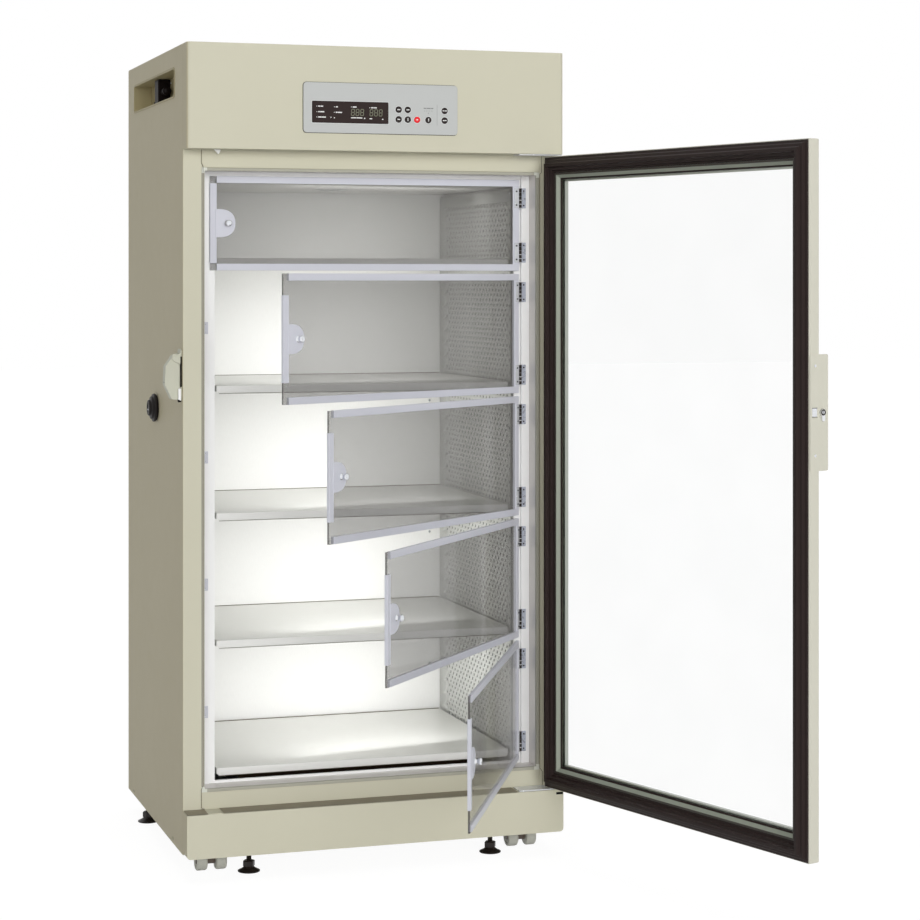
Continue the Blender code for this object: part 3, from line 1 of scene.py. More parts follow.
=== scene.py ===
"""The looks of a reach-in carbon dioxide incubator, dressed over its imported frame.

Lengths are in metres, but millimetres inside mm().  Cabinet pieces are placed in the
cabinet's frame: X from the middle of the door opening, Y back from the front of its frame,
Z up from the floor.  Pieces on a hinge are placed in that hinge's frame, with its door shut.
"""

import json
import math

import bmesh
import bpy
from mathutils import Matrix, Vector

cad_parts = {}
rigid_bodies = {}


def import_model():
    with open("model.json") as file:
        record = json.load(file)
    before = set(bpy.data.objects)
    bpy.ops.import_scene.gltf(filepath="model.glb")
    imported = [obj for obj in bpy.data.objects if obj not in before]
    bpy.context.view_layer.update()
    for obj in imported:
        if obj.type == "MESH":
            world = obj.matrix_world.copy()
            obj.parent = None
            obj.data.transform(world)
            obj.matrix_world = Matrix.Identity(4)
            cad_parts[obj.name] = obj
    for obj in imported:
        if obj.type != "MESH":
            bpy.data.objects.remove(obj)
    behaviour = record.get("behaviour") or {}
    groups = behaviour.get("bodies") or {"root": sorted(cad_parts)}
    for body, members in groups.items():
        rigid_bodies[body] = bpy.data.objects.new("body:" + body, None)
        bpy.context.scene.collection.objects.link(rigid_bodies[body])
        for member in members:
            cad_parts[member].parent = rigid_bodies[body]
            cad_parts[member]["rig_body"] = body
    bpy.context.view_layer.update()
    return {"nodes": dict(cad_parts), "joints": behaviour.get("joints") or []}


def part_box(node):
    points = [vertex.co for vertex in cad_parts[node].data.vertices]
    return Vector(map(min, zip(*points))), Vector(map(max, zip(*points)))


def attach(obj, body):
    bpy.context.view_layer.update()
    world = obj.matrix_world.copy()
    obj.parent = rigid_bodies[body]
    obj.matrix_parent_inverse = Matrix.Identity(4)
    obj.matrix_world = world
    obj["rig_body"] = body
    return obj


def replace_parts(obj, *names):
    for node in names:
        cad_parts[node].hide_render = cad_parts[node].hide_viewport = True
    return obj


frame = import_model()

HALF_WIDTH = 0.455
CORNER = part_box("left_side_panel")[0]
CABINET = Matrix.Translation((CORNER.x + HALF_WIDTH, CORNER.y, 0.0))
JOINTS = {joint["name"]: joint for joint in frame["joints"]}
LEVELS = range(1, 6)

link = bpy.context.scene.collection.objects.link


def hinge_frame(name):
    """The frame of a door's hinge pins, turned as the door stands at rest."""
    joint = JOINTS[name]
    turn = math.radians(-joint["range_deg"][0])
    x, y, _ = joint["pos_m"]
    return Matrix.Translation((x, y, 0.0)) @ Matrix.Rotation(turn, 4, "Z")


DOOR = hinge_frame("outer_door_hinge")
INNER_DOORS = {number: hinge_frame(f"inner_door_{number}_hinge") for number in LEVELS}


def span(node, place=CABINET):
    """Lowest and highest corners of a CAD node in a frame."""
    back = place.inverted()
    points = [back @ corner.co for corner in frame["nodes"][node].data.vertices]
    low = Vector(min(point[axis] for point in points) for axis in range(3))
    high = Vector(max(point[axis] for point in points) for axis in range(3))
    return low, high


CEILING = span("ceiling_duct_panel")[0].z

# Nodes


class Reading:
    """A node's output that can be used in sums."""

    def __init__(self, tree, socket):
        self.tree = tree
        self.socket = socket

    def maths(self, operation, first, second):
        return self.tree.node("ShaderNodeMath", {"operation": operation}, {0: first, 1: second})

    def __add__(self, other):
        return self.maths("ADD", self, other)

    def __radd__(self, other):
        return self.maths("ADD", other, self)

    def __mul__(self, other):
        return self.maths("MULTIPLY", self, other)

    def __rmul__(self, other):
        return self.maths("MULTIPLY", other, self)


class NodeTree:
    """The node tree of a material or of the world."""

    def __init__(self, owner):
        owner.use_nodes = True
        self.nodes = owner.node_tree.nodes
        self.links = owner.node_tree.links

    def feed(self, socket, value):
        if isinstance(value, Reading):
            self.links.new(value.socket, socket)
        else:
            socket.default_value = value

    def node(self, kind, settings=None, values=None, output=0):
        """Any node: its settings first, then the values or links of its sockets."""
        made = self.nodes.new(kind)
        for setting, value in (settings or {}).items():
            setattr(made, setting, value)
        for socket, value in (values or {}).items():
            self.feed(made.inputs[socket], value)
        return Reading(self, made.outputs[output])


class Finish(NodeTree):
    """One material: a Principled shader whose varying sockets are fed by expressions."""

    def __init__(self, name, **constants):
        self.material = bpy.data.materials.new(name)
        super().__init__(self.material)
        self.shader = self.nodes["Principled BSDF"]
        self.set(**constants)

    def set(self, **values):
        """Feed the shader's sockets, named with underscores for their spaces."""
        for name, value in values.items():
            self.feed(self.shader.inputs[name.replace("_", " ")], value)

    def mix(self, share, first, second):
        """A colour between two others."""
        settings = {"data_type": "RGBA"}
        return self.node("ShaderNodeMix", settings, {0: share, 6: first, 7: second}, 2)

    def grain(self, scale, detail=3.0, stretch=(1.0, 1.0, 1.0)):
        """Noise from 0 to 1, stretched along the piece's own axes."""
        place = self.node("ShaderNodeTexCoord", output="Object")
        place = self.node("ShaderNodeMapping", None, {"Vector": place, "Scale": stretch})
        values = {"Vector": place, "Scale": scale, "Detail": detail, "Roughness": 0.55}
        return self.node("ShaderNodeTexNoise", None, values)

    def relief(self, height, strength, distance):
        values = {"Height": height, "Strength": strength, "Distance": distance}
        self.set(Normal=self.node("ShaderNodeBump", None, values))


# Camera and light

PHOTO_SIDE = 920
FOCAL_PIXELS = 2312.6
HORIZON_ROW = 279.2
CAMERA_PLACE = Vector((-1.4691, -5.2324, 1.3732))
CAMERA_TURN = -17.805
SENSOR_WIDTH = 36.0
AMBIENT = 0.27
WHITE_LIGHT = (1.0, 1.0, 1.0, 1.0)


def studio():
    """The photograph's camera, soft lamps, a white backdrop and a pale floor."""
    camera = bpy.data.objects.new("camera", bpy.data.cameras.new("camera"))
    link(camera)
    camera.data.sensor_width = SENSOR_WIDTH
    camera.data.lens = FOCAL_PIXELS / PHOTO_SIDE * SENSOR_WIDTH
    camera.data.shift_y = (HORIZON_ROW - PHOTO_SIDE / 2) / PHOTO_SIDE
    turn = Matrix.Rotation(math.radians(CAMERA_TURN), 3, "Z")
    level = Matrix.Rotation(math.radians(90), 3, "X")
    camera.matrix_world = CABINET @ Matrix.LocRotScale(CAMERA_PLACE, turn @ level, None)
    bpy.context.scene.camera = camera
    bpy.context.scene.view_settings.view_transform = "Standard"
    sun("key_lamp", (0.12, -1.0, 0.18), 30.0, 1.32)
    sun("front_lamp", (-0.38, -1.0, 0.06), 30.0, 0.90)
    sun("top_lamp", (0.0, 0.05, 1.0), 40.0, 0.75)
    heights = [span(f"shelf_{number}")[1].z for number in LEVELS] + [CEILING]
    for number, (lower, upper) in enumerate(zip(heights, heights[1:]), 1):
        bay_lamp(f"bay_lamp_{number}", lower, upper)
    world_light()
    floor()


def sun(name, direction, spread, strength):
    """A wide soft lamp far away in one direction, level over the whole object."""
    light = bpy.data.lights.new(name, "SUN")
    light.angle = math.radians(spread)
    light.energy = strength
    made = bpy.data.objects.new(name, light)
    made.rotation_euler = Vector(direction).to_track_quat("Z", "Y").to_euler()
    made.visible_glossy = False
    link(made)


def bay_lamp(name, lower, upper):
    """A soft panel of light in the mouth of one bay, which lights its walls and shelf."""
    width, margin = 0.46, 0.070
    light = bpy.data.lights.new(name, "AREA")
    light.shape = "RECTANGLE"
    light.size, light.size_y = width, upper - lower - margin
    light.energy = 1.12
    made = bpy.data.objects.new(name, light)
    made.location = CABINET @ Vector((0.08, 0.165, (lower + upper) / 2))
    made.rotation_euler = Vector((-0.20, 1.0, 0.0)).to_track_quat("-Z", "Y").to_euler()
    made.visible_camera = False
    made.visible_glossy = False
    link(made)


def seen_directly(tree):
    """One for rays that come from the camera, a reflection or through glass."""
    camera, glossy, through = (
        tree.node("ShaderNodeLightPath", output=ray)
        for ray in ("Is Camera Ray", "Is Glossy Ray", "Is Transmission Ray")
    )
    return camera.maths("MAXIMUM", camera.maths("MAXIMUM", camera, glossy), through)


def world_light():
    """An even sky at a low level, which shows white where it is seen directly."""
    world = bpy.data.worlds.new("studio")
    bpy.context.scene.world = world
    tree = NodeTree(world)
    sky = tree.nodes["Background"].inputs
    tree.feed(sky["Color"], WHITE_LIGHT)
    tree.feed(sky["Strength"], seen_directly(tree) * (1.0 - AMBIENT) + AMBIENT)


def floor():
    """A pale floor that shows white, with a faint shadow under the cabinet."""
    reach, brightness, share = 30.0, 1.12, 0.84
    shape = bmesh.new()
    bmesh.ops.create_grid(shape, x_segments=1, y_segments=1, size=reach)
    mesh = bpy.data.meshes.new("floor")
    shape.to_mesh(mesh)
    shape.free()
    ground = bpy.data.objects.new("floor", mesh)
    link(ground)
    paint = bpy.data.materials.new("floor")
    tree = NodeTree(paint)
    tree.nodes.remove(tree.nodes["Principled BSDF"])
    matt = tree.node("ShaderNodeBsdfDiffuse", None, {"Color": (0.80, 0.80, 0.80, 1.0)})
    white = tree.node("ShaderNodeEmission", None, {"Color": WHITE_LIGHT, "Strength": brightness})
    values = {"Fac": seen_directly(tree) * share, 1: matt, 2: white}
    blend = tree.node("ShaderNodeMixShader", None, values)
    tree.feed(tree.nodes["Material Output"].inputs["Surface"], blend)
    mesh.materials.append(paint)


# Finishes


def shade(colour):
    """A colour as read off a screen, 0 to 255, in the renderer's own linear values."""
    linear = []
    for value in colour:
        level = value / 255
        linear.append(level / 12.92 if level <= 0.04045 else ((level + 0.055) / 1.055) ** 2.4)
    return (*linear, 1.0)


def toned(colour, factor, lift=0.0):
    """A linear colour made darker or paler."""
    return (*(channel * factor + lift for channel in colour[:3]), 1.0)


def enamel(name, colour, dark, shine=0.14):
    """Baked enamel: fine orange peel and a trace of unevenness in tone and gloss."""
    finish = Finish(name, Specular_IOR_Level=shine)
    cloud = finish.grain(3.0, detail=4.0)
    finish.set(
        Base_Color=finish.mix(cloud, shade(colour), shade(dark)),
        Roughness=finish.grain(24.0) * 0.10 + 0.40,
    )
    finish.relief(finish.grain(420.0, detail=2.0), strength=0.035, distance=0.0006)
    return finish.material


def moulded(name, colour, roughness, speckle=0.06, coat=0.0, shine=0.4):
    """Moulded plastic with a fine spark texture."""
    finish = Finish(name, Coat_Weight=coat, Coat_Roughness=0.08, Specular_IOR_Level=shine)
    dots = finish.grain(900.0, detail=2.0)
    colour = shade(colour)
    finish.set(
        Base_Color=finish.mix(dots, colour, toned(colour, 1 - speckle)),
        Roughness=finish.grain(60.0) * 0.08 + (roughness - 0.04),
    )
    finish.relief(dots, strength=0.05, distance=0.0003)
    return finish.material


def brushed(name, colour, roughness, stretch, strength=0.05, metallic=1.0):
    """Stainless sheet with its grain drawn along one direction."""
    finish = Finish(name, Metallic=metallic)
    lines = finish.grain(60.0, detail=4.0, stretch=stretch)
    cloud = finish.grain(5.0)
    colour = shade(colour)
    finish.set(
        Base_Color=finish.mix(lines, colour, toned(colour, 0.90)),
        Roughness=lines * 0.10 + cloud * 0.06 + (roughness - 0.08),
    )
    finish.relief(lines, strength, distance=0.0004)
    return finish.material


def plated(name, colour, roughness, metallic=1.0):
    """Bright plating with the faint waviness of small stampings."""
    finish = Finish(name, Metallic=metallic, Base_Color=shade(colour))
    finish.set(Roughness=finish.grain(150.0) * 0.08 + (roughness - 0.04))
    finish.relief(finish.grain(90.0, detail=2.0), strength=0.04, distance=0.0004)
    return finish.material


def soft_black(name, colour, roughness):
    """Extruded rubber: dull, with a dusty bloom."""
    finish = Finish(name, Specular_IOR_Level=0.22)
    bloom = finish.grain(30.0, detail=5.0)
    colour = shade(colour)
    finish.set(
        Base_Color=finish.mix(bloom, colour, toned(colour, 1.5, 0.004)),
        Roughness=bloom * 0.15 + (roughness - 0.08),
    )
    finish.relief(finish.grain(500.0, detail=2.0), strength=0.06, distance=0.0004)
    return finish.material


def see_through(name, colour, opacity, roughness, coat=0.0):
    """A polished clear or tinted sheet, with a breath of haze."""
    finish = Finish(
        name, Base_Color=shade(colour), IOR=1.49, Coat_Weight=coat, Coat_Roughness=0.02)
    haze = finish.grain(6.0)
    finish.set(Alpha=haze * 0.02 + (opacity - 0.01), Roughness=haze * 0.03 + roughness)
    return finish.material


BEIGE = enamel("beige_enamel", (211, 208, 188), (205, 202, 181))
# A darker, warmer copy of the beige: painted shade for the cabinet's side faces.
SHADED_SIDE_BEIGE = enamel("side_enamel_painted_shade", (200, 192, 165), (194, 186, 158), 0.05)
# Darker and more olive than the side paint: painted shade inside the gas pocket.
RECESS_SHADE_OLIVE = enamel("recess_painted_shade", (178, 168, 132), (168, 157, 120), 0.08)
DOOR_BEIGE = enamel("door_enamel", (219, 217, 203), (213, 211, 196))
# Painted shadow for the dark lines where the frame meets the flanges and along the shelves' edges.
SEAM_SHADOW = enamel("seam_shadow", (104, 94, 74), (92, 82, 64), 0.05)
# A dark beige used as painted shade on the ledge over the base.
LEDGE_SHADE = enamel("ledge_painted_shade", (152, 145, 127), (146, 139, 120), 0.05)
LATCH_BEIGE = enamel("latch_enamel", (204, 204, 188), (196, 196, 179))
BEIGE_SCREW = enamel("screw_enamel", (186, 183, 162), (176, 172, 150))
WHITE = moulded("white_moulding", (253, 253, 252), 0.40, 0.02)
TRIM = moulded("pale_trim", (212, 213, 222), 0.34, 0.03)
CORNER_GREY = moulded("corner_grey", (222, 223, 212), 0.42, 0.04)
LIGHT_GREY = moulded("light_grey_moulding", (198, 200, 198), 0.42, 0.12)
BREAK_GREY = moulded("break_grey", (176, 174, 160), 0.45)
BEVEL_GREY = moulded("bevel_grey", (158, 164, 150), 0.36)
# Black moulding, also used as painted shade in the latch's slot.
BLACK = moulded("black_moulding_and_shade", (24, 19, 17), 0.50, shine=0.08)
FOOT_BLACK = moulded("foot_black", (32, 26, 23), 0.36, shine=0.3)
# Dark grey trim, also used as painted shade behind the duct holes, round the lock strike and in the
# lever's groove.
DARK_TRIM_AND_SHADE = moulded("dark_trim_and_shade", (58, 54, 48), 0.45)
DISPLAY = moulded("display_window", (50, 40, 38), 0.30, 0.04, 0.0, 0.12)
KEY_BLACK = moulded("key_black", (44, 36, 34), 0.34, 0.05, 0.05, 0.25)
KEY_RED = moulded("key_red", (236, 16, 30), 0.28, 0.04, 0.4)
MARK_WHITE = moulded("mark_white", (240, 240, 238), 0.40)
PALE_MARK = moulded("pale_mark", (226, 228, 226), 0.40)
MARK_GREY = moulded("mark_grey", (128, 130, 128), 0.45)
DIGITS = moulded("number_segments", (122, 124, 104), 0.35)
CASTER = moulded("caster_grey", (190, 190, 180), 0.50)
CASTER_DARK = moulded("caster_dark", (84, 72, 62), 0.45)
FOAM = moulded("foam", (226, 214, 170), 0.85)
ACROSS, UPRIGHT = (1.0, 12.0, 12.0), (12.0, 12.0, 1.0)
SHELF_STEEL = brushed("shelf_steel", (240, 240, 236), 0.32, ACROSS, 0.05, 0.35)
WALL_STEEL = brushed("wall_steel", (216, 217, 214), 0.34, UPRIGHT, 0.05, 0.6)
PERFORATED = brushed("perforated_steel", (216, 217, 214), 0.36, UPRIGHT, 0.05, 0.6)
LINER_STEEL = brushed("liner_steel", (251, 251, 249), 0.46, UPRIGHT, 0.04, 0.1)
REVEAL_STEEL = brushed("reveal_steel", (222, 218, 214), 0.34, UPRIGHT, 0.05, 0.5)
SPACER = brushed("spacer_metal", (176, 180, 172), 0.36, UPRIGHT)
CHROME = plated("bright_plating", (228, 230, 234), 0.12)
PALE_STEEL = plated("pale_plating", (228, 230, 234), 0.26, 0.4)
BLUED = plated("zinc_plating", (196, 201, 214), 0.28, 0.35)
RING_STEEL = plated("ring_steel", (120, 122, 128), 0.30, 0.5)
# A dark brown steel: painted shade over the water tray under the lowest shelf.
SHADED_PAN_STEEL = plated("pan_steel_painted_shade", (62, 50, 40), 0.30, 0.8)
DARK_STEEL = plated("dark_steel", (64, 60, 58), 0.35)
GASKET = soft_black("gasket_black", (33, 23, 21), 0.52)
RUBBER = soft_black("rubber_black", (16, 12, 11), 0.50)
SMOKED = see_through("smoked_pane", (88, 85, 83), 0.375, 0.06, 0.1)
SMOKED_EDGE = see_through("smoked_edge", (74, 70, 68), 0.80, 0.20)
GLASS = see_through("clear_pane", (222, 234, 228), 0.020, 0.02)

# Building blocks


def mm(points, base=0.0):
    """Pairs in millimetres as metres, the second of each counted from a base."""
    return [(across / 1000, base + along / 1000) for across, along in points]


def point_on(axis, first, second, along):
    """A point from two coordinates across an axis and one along it."""
    if axis == "X":
        return (along, first, second)
    if axis == "Y":
        return (first, along, second)
    return (first, second, along)


def arc(centre, radius, start, stop, steps=6):
    """Points on an arc, angles in degrees."""
    points = []
    for step in range(steps + 1):
        angle = math.radians(start + (stop - start) * step / steps)
        points.append((centre[0] + radius * math.cos(angle), centre[1] + radius * math.sin(angle)))
    return points


def rounded(low, high, radius):
    """A rectangle with round corners, anticlockwise from its lower left corner."""
    left, right = low[0] + radius, high[0] - radius
    bottom, top = low[1] + radius, high[1] - radius
    centres = ((left, bottom), (right, bottom), (right, top), (left, top))
    outline = []
    for start, centre in zip((180, 270, 0, 90), centres):
        outline += arc(centre, radius, start, start + 90)
    return outline


class Shape:
    """A mesh under construction, made of blocks, prisms, turned forms and frames."""

    def __init__(self):
        self.mesh = bmesh.new()

    def loop(self, points):
        return [self.mesh.verts.new(point) for point in points]

    def wall(self, first, last):
        """Quads between two closed loops of equal length."""
        count = len(first)
        for index in range(count):
            other = (index + 1) % count
            self.mesh.faces.new((first[other], first[index], last[index], last[other]))

    def skin(self, rings):
        """A closed surface through a row of loops, with a face at each end."""
        for first, last in zip(rings, rings[1:]):
            self.wall(first, last)
        self.mesh.faces.new(rings[0])
        self.mesh.faces.new(rings[-1][::-1])
        return self

    def block(self, first, second):
        """A box between two opposite corners."""
        low = Vector([min(pair) for pair in zip(first, second)])
        high = Vector([max(pair) for pair in zip(first, second)])
        made = bmesh.ops.create_cube(self.mesh, size=1.0)["verts"]
        bmesh.ops.scale(self.mesh, vec=high - low, verts=made)
        bmesh.ops.translate(self.mesh, vec=(high + low) / 2, verts=made)
        return self

    def prism(self, outline, axis, start, stop):
        ends = (start, stop)
        return self.skin([self.loop(point_on(axis, a, b, end) for a, b in outline) for end in ends])

    def turned(self, profile, centre, axis="Z", steps=32):
        """A profile of (radius, distance along the axis) turned round it, its ends closed."""
        rings = []
        for radius, along in profile:
            circle = arc(centre, max(radius, 0.00001), 0, 360, steps)[:-1]
            rings.append(self.loop(point_on(axis, a, b, along) for a, b in circle))
        return self.skin(rings)

    def bar(self, centre, radius, axis, start, stop, steps=24):
        """A round bar with chamfered ends."""
        edge = min(radius, stop - start) * 0.2
        profile = [(radius - edge, start), (radius, start + edge)]
        profile += [(radius, stop - edge), (radius - edge, stop)]
        return self.turned(profile, centre, axis, steps)

    def screw(self, centre, axis, face, outward, radius):
        """A low pan head with a cross recess drawn as a raised rim, standing on a face."""
        height = radius * 0.55 * outward
        shares = ((1.0, 0.0), (0.92, 0.55), (0.55, 1.0), (0.30, 1.0), (0.22, 0.45))
        profile = [(radius * across, face + height * up) for across, up in shares]
        return self.turned(profile, centre, axis, 16)

    def frame(self, low, high, profile):
        """A mitred frame in the XZ plane whose section is a closed list of (inset, Y) points."""
        rings = []
        for inset, depth in profile:
            left, bottom = low[0] + inset, low[1] + inset
            right, top = high[0] - inset, high[1] - inset
            corners = ((left, bottom), (right, bottom), (right, top), (left, top))
            rings.append(self.loop((x, depth, z) for x, z in corners))
        for first, last in zip(rings, rings[1:] + rings[:1]):
            self.wall(first, last)
        return self

    def panel(self, outline, face):
        """A flat face in the plane of a side wall, from (Y, Z) points."""
        self.mesh.faces.new(self.loop((face, y, z) for y, z in outline))

    def rectangle(self, low, high, face):
        self.panel((low, (high[0], low[1]), high, (low[0], high[1])), face)

    def pierced(self, low, high, hole, radius, face):
        """A rectangle on a side wall with a round hole, as two faces that meet above and below."""
        ring = arc(hole, radius, 90, 450, 8)[:-1]
        upper, lower = (hole[0], high[1]), (hole[0], low[1])
        self.panel([upper, (low[0], high[1]), low, lower, *ring[4::-1]], face)
        self.panel([lower, (high[0], low[1]), high, upper, ring[0], *ring[:3:-1]], face)

    def tube(self, points, radius, steps=16):
        """A round bar along a path, its ends closed."""
        circle = arc((0.0, 0.0), radius, 0, 360, steps)[:-1]
        rings = []
        for index, point in enumerate(points):
            before = points[max(index - 1, 0)]
            after = points[min(index + 1, len(points) - 1)]
            turn = (after - before).to_track_quat("Z", "Y")
            rings.append(self.loop(point + turn @ Vector((a, b, 0.0)) for a, b in circle))
        return self.skin(rings)

    def torus(self, centre, radius, thickness, height):
        """A wire ring lying flat at a height."""
        section = arc((radius, 0.0), thickness, 0, 360, 8)[:-1]
        rings = []
        for a, b in arc((0.0, 0.0), 1.0, 0, 360, 40)[:-1]:
            rings.append(self.loop(
                (centre[0] + a * across, centre[1] + b * across, height + up)
                for across, up in section
            ))
        for first, last in zip(rings, rings[1:] + rings[:1]):
            self.wall(first, last)
        return self

    def piece(self, name, paint, slot, body="cabinet", place=CABINET,
              bevel=0.0, segments=2, angle=40, keep_normals=False):
        """Close the mesh, give it its finish and let it ride on a body."""
        if not keep_normals:
            bmesh.ops.recalc_face_normals(self.mesh, faces=self.mesh.faces)
        mesh = bpy.data.meshes.new(name)
        self.mesh.to_mesh(mesh)
        self.mesh.free()
        return dress_mesh(name, mesh, paint, body, place, bevel, segments, angle)


def dress_mesh(name, mesh, paint, body, place, bevel, segments, angle):
    """An object with soft edges and level shading, on its body."""
    mesh.shade_smooth()
    mesh.set_sharp_from_angle(angle=math.radians(angle))
    mesh.materials.clear()
    mesh.materials.append(paint)
    made = bpy.data.objects.new(name, mesh)
    link(made)
    made.matrix_world = place
    if bevel:
        edge = made.modifiers.new("edges", "BEVEL")
        edge.width = bevel
        edge.segments = segments
        edge.limit_method = "ANGLE"
        edge.angle_limit = math.radians(angle)
        edge.harden_normals = False
        level = made.modifiers.new("level", "WEIGHTED_NORMAL")
        level.keep_sharp = True
        level.weight = 100
    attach(made, body)
    return made


def dressed(node, paint, bevel, segments=2):
    """The CAD node's own form with softened edges, in place of the node."""
    source = frame["nodes"][node]
    shape = bmesh.new()
    shape.from_mesh(source.data)
    bmesh.ops.remove_doubles(shape, verts=shape.verts, dist=0.000005)
    limit = math.radians(0.5)
    bmesh.ops.dissolve_limit(shape, angle_limit=limit, verts=shape.verts, edges=shape.edges)
    mesh = bpy.data.meshes.new(f"{node}_form")
    shape.to_mesh(mesh)
    shape.free()
    place = Matrix.Identity(4)
    made = dress_mesh(
        f"{node}_form", mesh, paint, source["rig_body"], place, bevel, segments, 28)
    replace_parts(made, node)
    return made


def block(name, first, second, paint, slot, **more):
    """A plain block as a piece of its own."""
    return Shape().block(first, second).piece(name, paint, slot, **more)


def screws(name, places, axis, face, outward, radius, slot="stainless", **more):
    """A set of bright screws on one face."""
    shape = Shape()
    for place in places:
        shape.screw(place, axis, face, outward, radius)
    shape.piece(name, CHROME, slot, **more)


# Cabinet

FRONT = -0.050
HEADER_BOTTOM = span("header_cover")[0].z
BASE_TOP = span("base_plinth")[1].z


def cabinet_shell():
    """Painted sheets, with the screws, clip and plug that finish them."""
    for node in ("back_panel", "front_frame"):
        dressed(node, BEIGE, 0.0005)
    for node in ("left_side_panel", "right_side_panel", "header_cover", "base_plinth"):
        sheet = dressed(node, BEIGE, 0.0009, 3)
        # Faces that look sideways get the darker copy of the beige: painted shade for the sides.
        sheet.data.materials.append(SHADED_SIDE_BEIGE)
        for face in sheet.data.polygons:
            face.material_index = 1 if abs(face.normal.x) > 0.7 else 0
    seam_and_ledge_shade()
    sides = Shape()
    for side in (-1, 1):
        for y in (0.112, 0.126, 0.638, 0.652):
            sides.screw((y, 0.067), "X", side * HALF_WIDTH, side, 0.0032)
    sides.piece("side_screws", BEIGE_SCREW, "beige_paint")
    edges = [(x, z) for z in (0.085, 0.48, 0.88, 1.28, 1.68, 1.885) for x in (-0.435, 0.435)]
    ends = [(x, z) for x in (-0.22, 0.0, 0.22) for z in (0.085, 1.885)]
    screws("back_screws", edges + ends, "Y", span("back_panel")[1].y, 1, 0.0038)
    clip = [(-0.385, HEADER_BOTTOM), (-0.370, HEADER_BOTTOM),
            (-0.370, HEADER_BOTTOM - 0.003), (-0.3745, HEADER_BOTTOM - 0.011)]
    Shape().prism(clip, "Y", FRONT + 0.035, FRONT + 0.043).piece(
        "header_clip", WHITE, "white_plastic", bevel=0.0006)
    block("base_corner_plug", (0.4365, FRONT - 0.0008, BASE_TOP - 0.0125),
          (0.4535, FRONT + 0.004, BASE_TOP - 0.0072), BLACK, "black_plastic", bevel=0.0004)


def seam_and_ledge_shade():
    """Painted shadow lines where the frame meets the side flanges, and a strip of painted shade on
    the ledge over the base.
    """
    face = span("front_frame")[0].y
    flange = min(face, span("left_side_panel")[0].y)
    width = 0.0012
    left = [(-0.4125, HEADER_BOTTOM), (-0.4125, 1.6398), (-0.4085, 1.6330), (-0.4085, 0.2103),
            (-0.4125, 0.2014), (-0.4125, 0.1600), (-0.4040, BASE_TOP)]
    right = [(0.4162, HEADER_BOTTOM), (0.4162, 1.6299), (0.4120, 1.6248), (0.4120, 0.1990),
             (0.4190, 0.1898), (0.4190, BASE_TOP)]
    # Thin dark strips of painted shadow along the lines where the frame meets the side flanges.
    seams = Shape()
    for line in (left, right):
        for (x, z), (next_x, next_z) in zip(line, line[1:]):
            outline = [(x, z), (x + width, z), (next_x + width, next_z), (next_x, next_z)]
            seams.prism(outline, "Y", flange - 0.0003, face + 0.0002)
    seams.piece("frame_seam_shadows", SEAM_SHADOW, "beige_paint")
    # Painted shade laid over the ledge's top, except the short stretch in front of the sill's tab.
    ledge = Shape()
    for start, stop in ((-0.4535, -0.4060), (-0.3700, 0.3400)):
        ledge.block((start, FRONT + 0.0016, BASE_TOP - 0.0002),
                    (stop, face - 0.0003, BASE_TOP + 0.0004))
    ledge.piece("ledge_shade_strip", LEDGE_SHADE, "beige_paint", bevel=0.0002)


def door_opening():
    """The plastic break strip with its corners, the stainless reveal, and the catches."""
    dressed("thermal_break", BREAK_GREY, 0.0009)
    dressed("door_throat", REVEAL_STEEL, 0.0003)
    dressed("inner_door_frame", WHITE, 0.0006)
    low, high = span("thermal_break")
    reach, width = 0.013, 0.0074
    elbow = ((0.0, 0.0), (reach, 0.0), (reach, width), (width, width), (width, reach), (0.0, reach))
    corners = Shape()
    for x, inward in ((low.x, 1), (high.x, -1)):
        for z, up in ((low.z, 1), (high.z, -1)):
            outline = [(x + inward * a, z + up * b) for a, b in elbow]
            corners.prism(outline, "Y", low.y - 0.0003, low.y + 0.004)
    corners.piece("break_corners", CORNER_GREY, "grey_plastic", bevel=0.0004)
    face = 0.0508
    heights = (0.37, 0.665, 0.96, 1.26)
    catches = Shape()
    for z in heights:
        catches.block((-0.4012, face, z - 0.014), (-0.3857, face + 0.0022, z + 0.014))
    catches.piece("catch_plates", TRIM, "white_plastic", bevel=0.0007)
    places = [(-0.3934, z + offset) for z in heights for offset in (-0.009, 0.009)]
    screws("catch_screws", places, "Y", face, -1, 0.0018)


# Chamber

SHEET = 0.0012
DUCT_FACE = 0.3653
DUCT_WALL = 0.3765
DUCT_FRONT = 0.0764
DUCT_CORNER = 0.012
HOLES_START = 0.0928
HOLE_COLUMNS = 20
HOLE_STEP = 0.0245
HOLE_ROW = HOLE_STEP / 2
HOLE_RADIUS = 0.0038
SUPPORT_STEP = 0.0330556
SUPPORT_RADIUS = 0.0037


